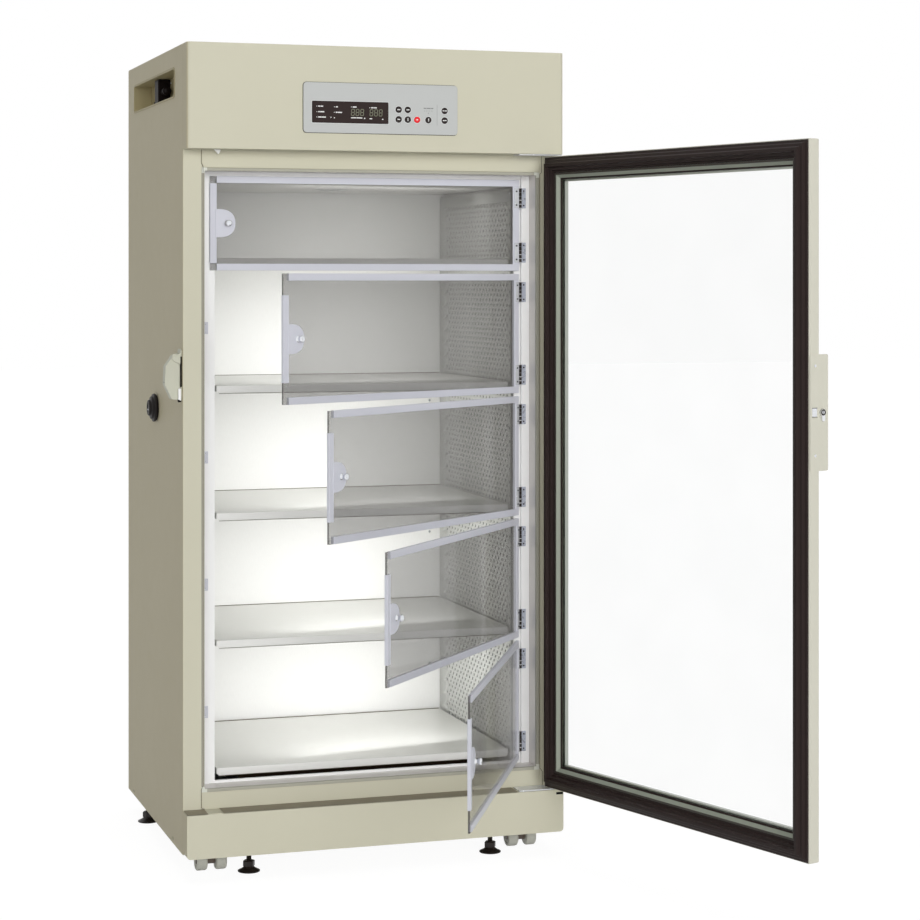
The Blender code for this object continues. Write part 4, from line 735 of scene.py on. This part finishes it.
def perforated_duct(node, side):
    """A duct cover: staggered rows of round holes between two columns of support holes."""
    low, high = span(node)
    face = side * DUCT_FACE
    front, rear = DUCT_FRONT, high.y - 0.0014
    left, right = HOLES_START, HOLES_START + HOLE_COLUMNS * HOLE_STEP
    first = low.z + 0.020
    rows = int((high.z - 0.020 - first) / HOLE_ROW)
    last = first + rows * HOLE_ROW
    sheet = Shape()
    for row in range(rows):
        bottom = first + row * HOLE_ROW
        top = bottom + HOLE_ROW
        middle = (bottom + top) / 2
        start, count = left, HOLE_COLUMNS
        if row % 2:
            for near in (left, right - HOLE_ROW):
                sheet.rectangle((near, bottom), (near + HOLE_ROW, top), face)
            start += HOLE_ROW
            count -= 1
        for column in range(count):
            y = start + column * HOLE_STEP
            hole = (y + HOLE_STEP / 2, middle)
            sheet.pierced((y, bottom), (y + HOLE_STEP, top), hole, HOLE_RADIUS, face)
    count = int((last - first) / SUPPORT_STEP)
    for near, far, y in ((front, left, 0.0850), (right, rear, 0.5900)):
        for number in range(count):
            bottom = first + number * SUPPORT_STEP
            hole = (y, bottom + SUPPORT_STEP / 2)
            sheet.pierced((near, bottom), (far, bottom + SUPPORT_STEP), hole, SUPPORT_RADIUS, face)
        sheet.rectangle((near, first + count * SUPPORT_STEP), (far, last), face)
    sheet.rectangle((front, low.z), (rear, first), face)
    crown_height = high.z - DUCT_CORNER
    crown = [(front, last), (rear, last)]
    crown += arc((rear - DUCT_CORNER, crown_height), DUCT_CORNER, 0, 90, 5)
    crown += arc((front + DUCT_CORNER, crown_height), DUCT_CORNER, 90, 180, 5)
    sheet.panel(crown, face)
    bmesh.ops.remove_doubles(sheet.mesh, verts=sheet.mesh.verts, dist=0.00001)
    if side > 0:
        bmesh.ops.reverse_faces(sheet.mesh, faces=sheet.mesh.faces)
    made = sheet.piece(f"{node}_sheet", PERFORATED, "stainless", keep_normals=True)
    skin = made.modifiers.new("sheet", "SOLIDIFY")
    skin.thickness = SHEET
    skin.offset = -1.0
    folds = Shape()
    for start in (front, rear - SHEET):
        folds.block((face, start, low.z), (side * DUCT_WALL, start + SHEET, crown_height))
    folds.piece(f"{node}_folds", WALL_STEEL, "stainless", bevel=0.0003)
    supports = Shape()
    for number in LEVELS:
        top = span(f"shelf_{number}")[1].z - 0.0015
        for y in (0.140, 0.560):
            near, far = y - 0.010, y + 0.010
            supports.block((face, near, top - 0.0015), (side * 0.3545, far, top))
            supports.block((face, near, top - 0.014), (face - side * SHEET, far, top))
    supports.piece(f"{node}_supports", CHROME, "stainless", bevel=0.0003)
    # A dark sheet just behind the perforated sheet: painted shade, so the holes read dark.
    shade_face = face + side * 0.0050
    block(f"{node}_duct_shade_sheet", (shade_face, front + 0.003, low.z + 0.004),
          (shade_face + side * 0.0010, rear - 0.003, high.z - 0.014), DARK_TRIM_AND_SHADE, "stainless")
    ends = (low.z + 0.010, high.z - 0.010)
    places = [(y, z) for y in (front + 0.006, rear - 0.006) for z in ends]
    screws(f"{node}_screws", places, "X", face, -side, 0.0032)
    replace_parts(made, node)


def shelf(number):
    """A folded shelf: round front edge, clipped lip, side and rear flanges, and painted shadow
    lines under the lip and along the back.
    """
    node = f"shelf_{number}"
    low, high = span(node)
    bend, clip = 0.0032, 0.006
    centre = (low.y + bend, high.z - bend)
    deck = Shape()
    outline = [(high.y, high.z), (high.y, high.z - SHEET)]
    outline += arc(centre, bend - SHEET, 90, 180, 5)
    outline += [(low.y + SHEET, high.z - 0.006), (low.y, high.z - 0.006)]
    outline += arc(centre, bend, 180, 90, 5)
    deck.prism(outline, "X", low.x, high.x)
    lip = [(low.x, high.z - 0.0055), (low.x, low.z + clip), (low.x + clip, low.z),
           (high.x - clip, low.z), (high.x, low.z + clip), (high.x, high.z - 0.0055)]
    deck.prism(lip, "Y", low.y, low.y + SHEET)
    deck.block((low.x + clip * 1.4, low.y, low.z),
               (high.x - clip * 1.4, low.y + 0.009, low.z + SHEET))
    deck.block((low.x + 0.004, high.y - SHEET, low.z), (high.x - 0.004, high.y, high.z - 0.0004))
    for x in (low.x, high.x - SHEET):
        for start, stop in ((low.y + 0.004, 0.120), (0.160, 0.540), (0.580, high.y - 0.003)):
            deck.block((x, start, low.z + 0.004), (x + SHEET, stop, high.z - 0.0004))
    # Thin dark strips of painted shadow: along the back where the shelf meets the wall, and under
    # the front lip.
    joints = Shape()
    joints.block((low.x + 0.003, high.y - 0.0026, high.z + 0.0001),
                 (high.x - 0.003, high.y - 0.0002, high.z + 0.0012))
    joints.block((low.x + clip, low.y - 0.0002, low.z - 0.0006),
                 (high.x - clip, low.y + 0.0010, low.z + 0.0002))
    joints.piece(f"{node}_joints", SEAM_SHADOW, "stainless")
    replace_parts(deck.piece(f"{node}_sheet", SHELF_STEEL, "stainless", bevel=0.0003), node)


def chamber():
    """Liner, ducts, shelves, water tray and blower, with the blower's wire guard."""
    dressed("chamber_liner", LINER_STEEL, 0.0005)
    perforated_duct("left_duct_panel", -1)
    perforated_duct("right_duct_panel", 1)
    dressed("ceiling_duct_panel", SHELF_STEEL, 0.0003)
    # The water tray is painted dark: painted shade in the gap under the lowest shelf.
    dressed("humidity_pan", SHADED_PAN_STEEL, 0.0004)
    for number in LEVELS:
        shelf(number)
    dressed("fan_wheel", LIGHT_GREY, 0.0003)
    foam = frame["nodes"]["insulation"].data
    foam.materials.clear()
    foam.materials.append(FOAM)
    dressed("fan_motor", BLACK, 0.0006)
    guard = Shape()
    middle = Vector((0.0, 0.400, CEILING + 0.0014))
    for radius in (0.014, 0.024, 0.034, 0.044):
        guard.torus(middle, radius, 0.0011, CEILING + 0.0004)
    spokes = 4
    for number in range(spokes):
        angle = math.pi * number / spokes
        reach = Vector((math.cos(angle), math.sin(angle), 0.0)) * 0.045
        guard.tube([middle - reach, middle + reach], 0.0010, 8)
    guard.piece("fan_guard", CHROME, "stainless")
    places = [(x, z) for x in (-0.340845, 0.340845) for z in (0.35, 0.70, 1.05, 1.40)]
    screws("liner_screws", places, "Y", span("chamber_liner")[1].y - 0.0015, -1, 0.0036)


# Outer door

ON_DOOR = {"body": "outer_door", "place": DOOR}


def outer_door():
    """The glazed door: painted frame, grey bevel, ribbed gasket, glass and pull flange."""
    dressed("door_shell", DOOR_BEIGE, 0.0008, 3)
    dressed("door_gasket", GASKET, 0.0010, 3)
    dressed("door_inner_frame", BEVEL_GREY, 0.0006, 3)
    dressed("door_glazing", GLASS, 0.0004).visible_shadow = False
    low, high = span("door_glazing", DOOR)
    inset, lip = 0.001, 0.0135
    front, back = low.y + 0.0042, high.y - 0.0042
    spacer = [(0.0, front), (lip, front), (lip, back), (0.0, back)]
    Shape().frame((low.x + inset, low.z + inset), (high.x - inset, high.z - inset), spacer).piece(
        "glass_spacer", SPACER, "stainless", **ON_DOOR, bevel=0.0003)
    trim_low, trim_high = span("door_inner_frame", DOOR)
    lower, upper = (trim_low.x, trim_low.z), (trim_high.x, trim_high.z)
    bead = mm([(11.8, 0.3), (15.2, 0.3), (15.6, 1.4), (11.8, 3.6)], high.y)
    Shape().frame(lower, upper, bead).piece(
        "glazing_bead", GASKET, "black_rubber", **ON_DOOR, bevel=0.0004)
    retainer = mm([(0.1, -1.0), (0.1, 0.4), (3.4, 1.2), (4.6, 0.6),
                   (5.0, -1.2), (4.0, -1.2), (3.6, -0.4)], trim_high.y)
    Shape().frame(lower, upper, retainer).piece(
        "gasket_retainer", DARK_TRIM_AND_SHADE, "grey_plastic", **ON_DOOR, bevel=0.0003)
    door_handle()


def door_handle():
    """The pull flange with its screws, lock ring, turning collar and strike."""
    low, high = span("door_handle_plate", DOOR)
    dressed("door_handle_plate", DOOR_BEIGE, 0.0006, 3)
    dressed("lock_cylinder", CHROME, 0.0004)
    outer = low.x
    lock = DOOR.inverted() @ Vector(JOINTS["lock_turn"]["pos_m"])
    centre = (lock.y, lock.z)
    places = [(high.y - 0.0142, z) for z in (low.z + 0.032, high.z - 0.024)]
    screws("handle_screws", places, "X", outer, -1, 0.0032, "chrome", **ON_DOOR)
    ring = mm([(11.5, 0), (11.5, -0.8), (10.6, -1.6), (8.8, -1.8), (8.0, -1.0), (7.4, 0)], outer)
    Shape().turned(ring, centre, "X").piece(
        "lock_escutcheon", DOOR_BEIGE, "beige_paint", **ON_DOOR)
    face = span("lock_cylinder", DOOR)[0].x
    collar = mm([(6.6, 0.6), (6.6, -0.2), (5.8, -0.6), (3.8, -0.6), (3.4, 0.4)], face)
    Shape().turned(collar, centre, "X").piece(
        "lock_collar", DARK_STEEL, "chrome", "lock_barrel", DOOR)
    block("lock_strike", (outer - 0.0002, lock.y + 0.0140, lock.z - 0.0088),
          (outer, lock.y + 0.0275, lock.z + 0.0088), PALE_STEEL, "chrome", **ON_DOOR)
    # Thin dark strips above and below the strike plate: painted shade in the gap round it.
    gap_shade = Shape()
    for edge in (lock.z - 0.0093, lock.z + 0.0093):
        gap_shade.block((outer - 0.0006, lock.y + 0.0135, edge - 0.0006),
                   (outer, lock.y + 0.0280, edge + 0.0006))
    gap_shade.piece("lock_strike_gap_shade", DARK_TRIM_AND_SHADE, "beige_paint", **ON_DOOR)


# Inner doors

STRIP_WIDTH = 0.016
STRIP_FRONT = 0.003
STRIP_DEPTH = 0.008
PULL_DEPTH = 0.0078
TAB_FRONT = 0.0018
LEAF_HALF = 0.024
LEAF_INSET = 0.044
KNUCKLE = 0.0032
KNUCKLES = 5


def strip_section(start, along, thickness=STRIP_DEPTH):
    """Section of an edge strip as (across, depth): soft corners, and a groove beside its lip."""
    width, soft, groove = STRIP_WIDTH, 0.0007, 0.0004
    near, far = width - 0.0036, width - 0.0028
    points = [(0.0, soft), (soft, 0.0), (near, 0.0), (near, groove), (far, groove), (far, 0.0)]
    points += [(width - soft, 0.0), (width, soft), (width, thickness - soft)]
    points += [(width - soft, thickness), (soft, thickness), (0.0, thickness - soft)]
    return [(start + along * across, STRIP_FRONT + depth) for across, depth in points]


def inner_door(number):
    """A smoked pane with its edge strips, pull tab, bright knob and hinge leaves."""
    node = f"inner_door_{number}"
    ride = {"body": node, "place": INNER_DOORS[number]}
    low, high = span(node, INNER_DOORS[number])
    left, right = low.x, -0.002
    bottom, top = low.z, high.z
    pane = block(f"{node}_pane", (left + 0.0003, 0.0045, bottom + 0.0003),
                 (right - 0.0003, 0.0095, top - 0.0003),
                 SMOKED, "smoked_acrylic", **ride, bevel=0.0004)
    pane.visible_shadow = False
    pane.data.materials.append(SMOKED_EDGE)
    for face in pane.data.polygons:
        face.material_index = 0 if abs(face.normal.y) > 0.5 else 1
    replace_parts(pane, node)
    strips = Shape()
    for across, along in ((bottom, 1), (top, -1)):
        outline = [(depth, z) for z, depth in strip_section(across, along)]
        strips.prism(outline, "X", left + STRIP_WIDTH, right)
    lap = STRIP_WIDTH * 0.98
    strips.prism(strip_section(right, -1), "Z", bottom + lap, top - lap)
    margin = STRIP_WIDTH + 0.001 if number == LEVELS[-1] else (top - bottom) / 6
    strips.prism(strip_section(left, 1, PULL_DEPTH), "Z", bottom + margin, top - margin)
    strips.piece(f"{node}_strips", TRIM, "white_plastic", **ride, bevel=0.0002, segments=1)
    pull_tab(node, ride, left, (bottom + top) / 2)
    leaves, pins, rings = Shape(), Shape(), Shape()
    for height in (bottom + LEAF_INSET, top - LEAF_INSET):
        leaves.block((-0.0142, 0.0011, height - LEAF_HALF), (-0.0030, 0.0031, height + LEAF_HALF))
        knuckles(pins, (0.0, 0.0), height, (1, 3))
        for offset in (-0.0165, 0.0165):
            centre = (-0.0092, height + offset)
            rings.bar(centre, 0.0023, "Y", 0.0007, 0.0016, 20)
            pins.screw(centre, "Y", 0.0007, -1, 0.0019)
    leaves.piece(f"{node}_leaves", PALE_STEEL, "stainless", **ride, bevel=0.0004)
    pins.piece(f"{node}_knuckles", DARK_STEEL, "stainless", **ride)
    rings.piece(f"{node}_leaf_rings", RING_STEEL, "stainless", **ride)


def pull_tab(node, ride, left, middle):
    """The half-round tab on the free edge, and its bright knob."""
    half, reach = 0.033, 0.060
    outline = [(left + 0.0125, middle + half), (left + 0.0125, middle - half)]
    for step in range(25):
        turn = math.radians(-90 + step * 7.5)
        across = (reach - STRIP_WIDTH) * max(math.cos(turn), 0.0) ** 0.72
        upward = half * math.copysign(abs(math.sin(turn)) ** 0.86, turn)
        outline.append((left + STRIP_WIDTH + across, middle + upward))
    Shape().prism(outline, "Y", TAB_FRONT, 0.0080).piece(
        f"{node}_tab", TRIM, "white_plastic", **ride, bevel=0.0009, segments=3)
    knob = mm([(7.2, 0.0), (7.4, -0.8), (5.8, -2.2), (4.2, -5.0), (4.4, -7.2), (6.2, -9.0),
               (7.4, -10.6), (7.5, -13.4), (7.0, -15.0), (5.6, -15.8), (3.0, -16.2),
               (0.0, -16.3)], TAB_FRONT)
    Shape().turned(knob, (left + reach * 0.70, middle), "Y", 36).piece(
        f"{node}_knob", CHROME, "chrome", **ride, angle=50)


def knuckles(shape, centre, height, which):
    """Some of the segments of a hinge knuckle."""
    pitch = 2 * LEAF_HALF / KNUCKLES
    for index in which:
        start = height - LEAF_HALF + index * pitch
        shape.bar(centre, KNUCKLE, "Z", start + 0.0002, start + pitch - 0.0002, 20)


def fixed_leaves():
    """The pillar's half of every inner door hinge."""
    leaves, pins = Shape(), Shape()
    half = LEAF_HALF + 0.0002
    for number in LEVELS:
        pivot = CABINET.inverted() @ Vector(JOINTS[f"inner_door_{number}_hinge"]["pos_m"])
        x, y = pivot.x, pivot.y
        low, high = span(f"inner_door_{number}", INNER_DOORS[number])
        for height in (low.z + LEAF_INSET, high.z - LEAF_INSET):
            leaves.block((x + 0.0032, y + 0.0009, height - half),
                         (x + 0.0142, y + 0.0030, height + half))
            knuckles(pins, (x, y), height, (0, 2, 4))
            for offset in (-0.0175, 0.0175):
                centre = (x + 0.0088, height + offset)
                pins.bar(centre, 0.0019, "Y", y + 0.0003, y + 0.0012, 20)
    leaves.piece("pillar_leaves", BLUED, "stainless", bevel=0.0004)
    pins.piece("pillar_knuckles", DARK_STEEL, "stainless")


# Control panel

PANEL_FRONT = -0.0550
PANEL_CUT = PANEL_FRONT + 0.001
WINDOW_FRONT = -0.0557
PRINT = 0.00012
GLYPH_FRONT = WINDOW_FRONT - PRINT
WORD_GAP = 0.0009
RED_KEY = 5
KEY_MARKS = {
    1: (0.0032, 0.0026), 2: (0.0028, 0.0032), 3: (0.0064,),
    5: (0.0040,), 7: (0.0044, 0.0052), 8: (0.0040, 0.0040),
}


def control_panel():
    """The control plate: window, unlit number segments, plain legend bars and ringed keys."""
    low, high = span("control_fascia")
    dressed("control_fascia", LIGHT_GREY, 0.0007, 3)
    edge = 0.0011
    outline = rounded((low.x - edge, low.z - edge), (high.x + edge, high.z + edge), 0.0090)
    Shape().prism(outline, "Y", FRONT - 0.0006, FRONT - 0.0001).piece(
        "control_plate_gasket", DARK_TRIM_AND_SHADE, "black_rubber")
    left, bottom, right, top = -0.1648, 1.7342, 0.0188, 1.7848
    edge = 0.0012
    rim = rounded((left - edge, bottom - edge), (right + edge, top + edge), 0.0036)
    Shape().prism(rim, "Y", PANEL_FRONT - 0.00025, PANEL_CUT).piece(
        "window_rim", PALE_MARK, "grey_plastic")
    window = rounded((left, bottom), (right, top), 0.0026)
    Shape().prism(window, "Y", WINDOW_FRONT, PANEL_CUT).piece(
        "display_window", DISPLAY, "black_plastic", bevel=0.0002)
    digits = Shape()
    for start in (-0.0718, -0.0272):
        for place in range(3):
            seven_segments(digits, start + 0.0111 * place, 1.7518, 0.0084, 0.0160)
    digits.piece("number_segments", DIGITS, "grey_plastic")
    legends()
    rings = Shape()
    for number in range(1, 9):
        key(number, rings)
    rings.piece("key_rings", PALE_MARK, "white_plastic", bevel=0.0001, segments=1)


def seven_segments(shape, x, z, width, height):
    """The unlit segments of one figure, leaning a little to the right."""
    thick, gap, lean = 0.0015, 0.0003, 0.06
    half = thick / 2
    middle = z + height / 2
    near, far = x + thick, x + width - thick

    def slab(points):
        leaning = [(a + lean * (b - z), b) for a, b in points]
        shape.prism(leaning, "Y", GLYPH_FRONT, WINDOW_FRONT + 0.0002)

    for low in (z, middle - half, z + height - thick):
        slab(((near, low), (far, low), (far + half, low + half),
              (far, low + thick), (near, low + thick), (near - half, low + half)))
    for low, high in ((z + half + gap, middle - gap), (middle + gap, z + height - half - gap)):
        for side in (x, far):
            slab(((side, low + half), (side + half, low), (side + thick, low + half),
                  (side + thick, high - half), (side + half, high), (side, high - half)))


def legend(shape, x, z, words, height=0.0026, front=GLYPH_FRONT):
    """A row of plain bars in the place of a printed legend."""
    depth = 0.0004
    for length in words:
        shape.block((x, front, z - height / 2), (x + length, front + depth, z + height / 2))
        x += length + WORD_GAP


def legends():
    """The window's pale legends, some with a dot before them, and the plate's grey ones."""
    bright = Shape()
    for x, z, words in (
        (-0.1539, 1.7724, (0.0046, 0.0062)),
        (-0.1539, 1.7596, (0.0038, 0.0096)),
        (-0.1539, 1.7474, (0.0080, 0.0094)),
        (-0.1122, 1.7716, (0.0052,)),
        (-0.1122, 1.7590, (0.0044, 0.0098)),
        (-0.0716, 1.7722, (0.0092,)),
        (-0.0273, 1.7714, (0.0060, 0.0066)),
    ):
        bright.bar((x + 0.0008, z), 0.0010, "Y", GLYPH_FRONT, GLYPH_FRONT + 0.0004, 12)
        legend(bright, x + 0.0040, z, words)
    for x, z, words in (
        (-0.1205, 1.7470, (0.0018,)),
        (-0.1125, 1.7462, (0.0024,)),
        (-0.0716, 1.7472, (0.0122, 0.0140)),
        (-0.0405, 1.7464, (0.0030,)),
        (-0.0270, 1.7458, (0.0062,)),
        (0.0030, 1.7450, (0.0032,)),
    ):
        legend(bright, x, z, words, 0.0023)
    bright.piece("window_legends", MARK_WHITE, "white_plastic")
    grey = Shape()
    front = PANEL_FRONT - PRINT
    back = front + 0.0004
    legend(grey, 0.1042, 1.7730, (0.0064, 0.0100, 0.0058), 0.0022, front)
    for x in (0.1052, 0.1104, 0.1166, 0.1232):
        legend(grey, x, 1.7668, (0.0026,), 0.0009, front)
    grey.prism([(0.1146, 1.7625), (0.1174, 1.7625), (0.1160, 1.7598)], "Y", front, back)
    grey.block((0.1370, front, 1.7335), (0.1376, back, 1.7820))
    grey.piece("panel_legends", MARK_GREY, "grey_plastic")


def key(number, rings):
    """A domed round key with a plain mark, and the pale ring round it."""
    node = f"key_{number}"
    low, high = span(node)
    x, z = (low.x + high.x) / 2, (low.z + high.z) / 2
    radius = (high.x - low.x) / 2
    front = low.y
    ring = mm([(0.3, 1.0), (0.4, -0.3), (1.5, -0.3), (1.7, 0.2), (1.7, 1.0)], PANEL_FRONT)
    rings.turned([(radius + across, along) for across, along in ring], (x, z), "Y")
    profile = [(radius - 0.0004, high.y), (radius, high.y - 0.0004), (radius, front + 0.0011)]
    profile += [(radius * 0.95, front + 0.0005), (radius * 0.80, front + 0.0001)]
    profile += [(radius * 0.5, front), (0.0, front)]
    paint, slot = (KEY_RED, "red_plastic") if number == RED_KEY else (KEY_BLACK, "black_plastic")
    cap = Shape().turned(profile, (x, z), "Y", 36)
    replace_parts(cap.piece(f"{node}_cap", paint, slot, node, angle=50), node)
    marks = Shape()
    face = front - PRINT
    if number in KEY_MARKS:
        words = KEY_MARKS[number]
        total = sum(words) + WORD_GAP * (len(words) - 1)
        legend(marks, x - total / 2, z, words, 0.0022, face)
    else:
        for up in (1, -1):
            arrow = [(x - 0.0015, z + up * 0.0006), (x + 0.0015, z + up * 0.0006),
                     (x, z + up * 0.0044)]
            marks.prism(arrow, "Y", face, face + 0.0005)
        marks.block((x - 0.0005, face, z - 0.0012), (x + 0.0005, face + 0.0005, z + 0.0012))
    marks.piece(f"{node}_mark", MARK_WHITE, "white_plastic", node)


# Left side


def gas_recess():
    """The pocket with its valve block, hose spigot, elbow and cable grommet."""
    # The pocket's inside gets the darker olive copy of the enamel: painted shade.
    dressed("gas_port_recess", RECESS_SHADE_OLIVE, 0.0006, 3)
    low, high = span("gas_port_fittings")
    front, rear = 0.382, 0.428
    x, z = (low.x + high.x) / 2, (low.z + high.z) / 2
    valve = block("gas_valve_block", (low.x, front, low.z), (high.x, rear, high.z),
                  BLACK, "black_plastic", bevel=0.0018, segments=3)
    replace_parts(valve, "gas_port_fittings")
    block("gas_valve_plate", (low.x + 0.002, front - 0.0016, low.z + 0.001),
          (high.x, front, high.z - 0.001), BLACK, "stainless", bevel=0.0003)
    spigot = mm([(9.0, 0), (9.0, -12.0), (7.5, -12.5), (7.5, -30.0), (10.5, -31.0),
                 (10.5, -37.5), (6.2, -38.0), (6.2, -41.5), (7.5, -42.5), (5.6, -46.0),
                 (7.5, -46.8), (5.4, -50.5), (4.0, -51.9), (3.6, -50.0)], front)
    Shape().turned(spigot, (x, z), "Y", 28).piece("gas_spigot", BLACK, "black_plastic")
    bend, corner = 0.022, 0.445
    drop = corner + bend
    path = [Vector((x, rear, z)), Vector((x, corner, z))]
    path += [Vector((x, y, height)) for y, height in arc((corner, z - bend), bend, 82, 0, 8)]
    path += [Vector((x, drop, z - 0.0300))]
    elbow = Shape().tube(path, 0.0078, 20)
    elbow.bar((x, z), 0.0105, "Y", rear, rear + 0.008)
    elbow.bar((x, drop), 0.0100, "Z", low.z + 0.0002, z - 0.018)
    elbow.piece("gas_elbow", BLACK, "black_plastic")
    back = span("gas_port_recess")[1].x - 0.0015
    grommet = mm([(15.0, 0), (15.0, -2.0), (13.5, -3.4), (11.2, -3.0), (10.0, -0.8)], back)
    Shape().turned(grommet, (0.240, z), "X").piece(
        "cable_grommet", RUBBER, "black_rubber", angle=50)
    places = ((0.434, z - 0.012), (0.375, z + 0.022))
    screws("gas_recess_screws", places, "X", back, -1, 0.0034)


def port_cap():
    """The stepped rubber stopper of the access port, and the flange behind it."""
    dressed("access_port_sleeve", BLACK, 0.0005)
    low, high = span("access_port_cap")
    y, z = (low.y + high.y) / 2, (low.z + high.z) / 2
    profile = mm([(21.4, 0), (21.7, -1.0)], high.x)
    profile += mm([(21.7, 0), (33.0, 0), (34.0, -1.2), (34.0, -4.8), (33.2, -6.0), (29.0, -6.6),
                   (27.8, -7.2), (27.2, -10.5), (26.2, -11.6), (20.5, -12.4), (19.6, -13.0)],
                  -HALF_WIDTH - 0.0036)
    profile += mm([(19.0, 1.6), (17.6, 0.3), (12.0, 0), (11.4, 1.4), (0, 1.6)], low.x)
    stopper = Shape().turned(profile, (y, z), "X", 48)
    made = stopper.piece("access_port_cap_stopper", RUBBER, "black_rubber", "port_cap", angle=35)
    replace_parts(made, "access_port_cap")
    pin = mm([(2.6, 1.6), (2.6, 0.4), (1.8, 0)], low.x)
    Shape().turned(pin, (y, z - 0.004), "X", 20).piece(
        "port_cap_pin", CHROME, "chrome", "port_cap")


def latch():
    """The side latch: base with its lip, roller and stop, the swinging lever, and painted shade in
    the base's slot and the lever's groove.
    """
    dressed("latch_base", LATCH_BEIGE, 0.0008, 3)
    dressed("latch_lever", LATCH_BEIGE, 0.0022, 4)
    low, high = span("latch_base")
    block("latch_lip", (-0.4775, low.y - 0.0012, high.z - 0.0160),
          (-0.4560, low.y + 0.003, high.z - 0.0112),
          LATCH_BEIGE, "beige_paint", bevel=0.0010, segments=3)
    # A black strip: painted shade in the base's slot.
    block("latch_slot_shade", (-0.4590, low.y - 0.0004, low.z + 0.034),
          (-0.4556, low.y + 0.002, high.z - 0.017), BLACK, "black_plastic", bevel=0.0003)
    roller = mm([(2.0, 2.0), (3.6, 3.5), (3.6, 29.0), (3.0, 30.5), (1.6, 31.0)], low.z)
    Shape().turned(roller, (-0.4608, low.y - 0.0012), steps=24).piece(
        "latch_roller", WHITE, "white_plastic")
    stop = mm([(3.0, -0.5), (4.2, 1.0), (4.2, 5.0), (3.2, 5.6)], low.z)
    Shape().turned(stop, (-0.4614, low.y - 0.0006), steps=24).piece(
        "latch_stop", BLACK, "black_plastic")
    low, high = span("latch_lever")
    # A dark strip: painted shade in the lever's groove.
    block("latch_lever_groove_shade", (low.x + 0.0002, low.y + 0.004, low.z + 0.040),
          (low.x + 0.0035, high.y - 0.004, low.z + 0.0412),
          DARK_TRIM_AND_SHADE, "beige_paint", body="latch_lever")


# Hinges, feet and casters


def outer_hinges():
    """The outer door's hinge plates, with a washer at each end of the door."""
    for node in ("upper_hinge_bracket", "lower_hinge_bracket"):
        dressed(node, PALE_STEEL, 0.0005)
    pivot = CABINET.inverted() @ Vector(JOINTS["outer_door_hinge"]["pos_m"])
    low, high = span("door_shell", DOOR)
    plates = (0.15785, span("upper_hinge_bracket")[1].z - 0.0026)
    bore, rim = 0.0050, 0.0090
    washers = Shape()
    for door, plate, up in ((low.z, plates[0], -1), (high.z, plates[1], 1)):
        profile = [(bore, door + up * 0.0002), (rim, door + up * 0.0003)]
        profile += [(rim, plate), (bore, plate)]
        washers.turned(profile, (pivot.x, pivot.y), steps=28)
    washers.piece("hinge_washers", BLACK, "black_plastic")


def levelling_foot(place):
    """A dished pad, a hexagon and a threaded stem."""
    node = f"levelling_foot_{place}"
    low, high = span(node)
    centre = ((low.x + high.x) / 2, (low.y + high.y) / 2)
    pad = mm([(23.5, 0), (25.6, 0.6), (26.0, 2.0), (25.6, 3.0), (22.0, 4.8), (17.0, 7.2),
              (13.8, 9.8), (12.5, 11.2), (11.8, 12.6)])
    hexagon = mm([(7.0, 12.0), (12.8, 12.2), (13.9, 13.4), (13.9, 24.6), (12.8, 25.8), (7.0, 26.0)])
    root, crest, pitch = 0.0054, 0.0060, 0.0018
    thread = [(crest, 0.0255)]
    level = 0.0270
    while level < high.z - 0.003:
        thread += [(root, level), (crest, level + pitch / 2)]
        level += pitch
    thread += [(crest, high.z)]
    foot = Shape().turned(pad, centre, steps=40)
    foot.turned(hexagon, centre, steps=6).turned(thread, centre, steps=24)
    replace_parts(foot.piece(f"{node}_screw", FOOT_BLACK, "black_plastic", angle=30), node)


def caster_wheels(node):
    """Twin wheels with rounded treads and dished hubs on one axle."""
    low, high = span(node)
    centre = ((low.y + high.y) / 2, (low.z + high.z) / 2)
    radius = (high.z - low.z) / 2
    middle = (low.x + high.x) / 2
    wheels, hubs = Shape(), Shape()
    for side in (-1, 1):
        inner = middle + side * 0.0102
        width = middle + side * (high.x - low.x) / 2 - inner

        def scaled(shares):
            return [(radius * across, inner + width * along) for across, along in shares]

        dish = inner + width * 0.92
        tread = scaled([(0.86, 0), (0.95, 0.06), (1.0, 0.18), (1.0, 0.80), (0.97, 0.93),
                        (0.88, 1.0), (0.66, 1.0), (0.60, 0.92)])
        wheels.turned([(0.0050, inner), *tread, (0.0045, dish)], centre, "X", 40)
        hubs.turned(scaled([(0.34, 0.90), (0.32, 0.99), (0.12, 0.995)]), centre, "X", 24)
    hubs.bar(centre, 0.0040, "X", middle - 0.012, middle + 0.012, 20)
    made = wheels.piece(f"{node}_tyres", CASTER, "caster_grey", node)
    hubs.piece(f"{node}_hubs", CASTER_DARK, "black_plastic", node)
    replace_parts(made, node)


def running_gear():
    """Four screw feet, two swivel casters and four pairs of wheels."""
    for place in ("front_left", "front_right", "rear_left", "rear_right"):
        levelling_foot(place)
    for side in ("left", "right"):
        dressed(f"front_caster_{side}", CASTER_DARK, 0.0012, 3)
        for end in ("front", "rear"):
            caster_wheels(f"{end}_wheels_{side}")


studio()
cabinet_shell()
door_opening()
chamber()
outer_door()
for number in LEVELS:
    inner_door(number)
fixed_leaves()
control_panel()
gas_recess()
port_cap()
latch()
outer_hinges()
running_gear()
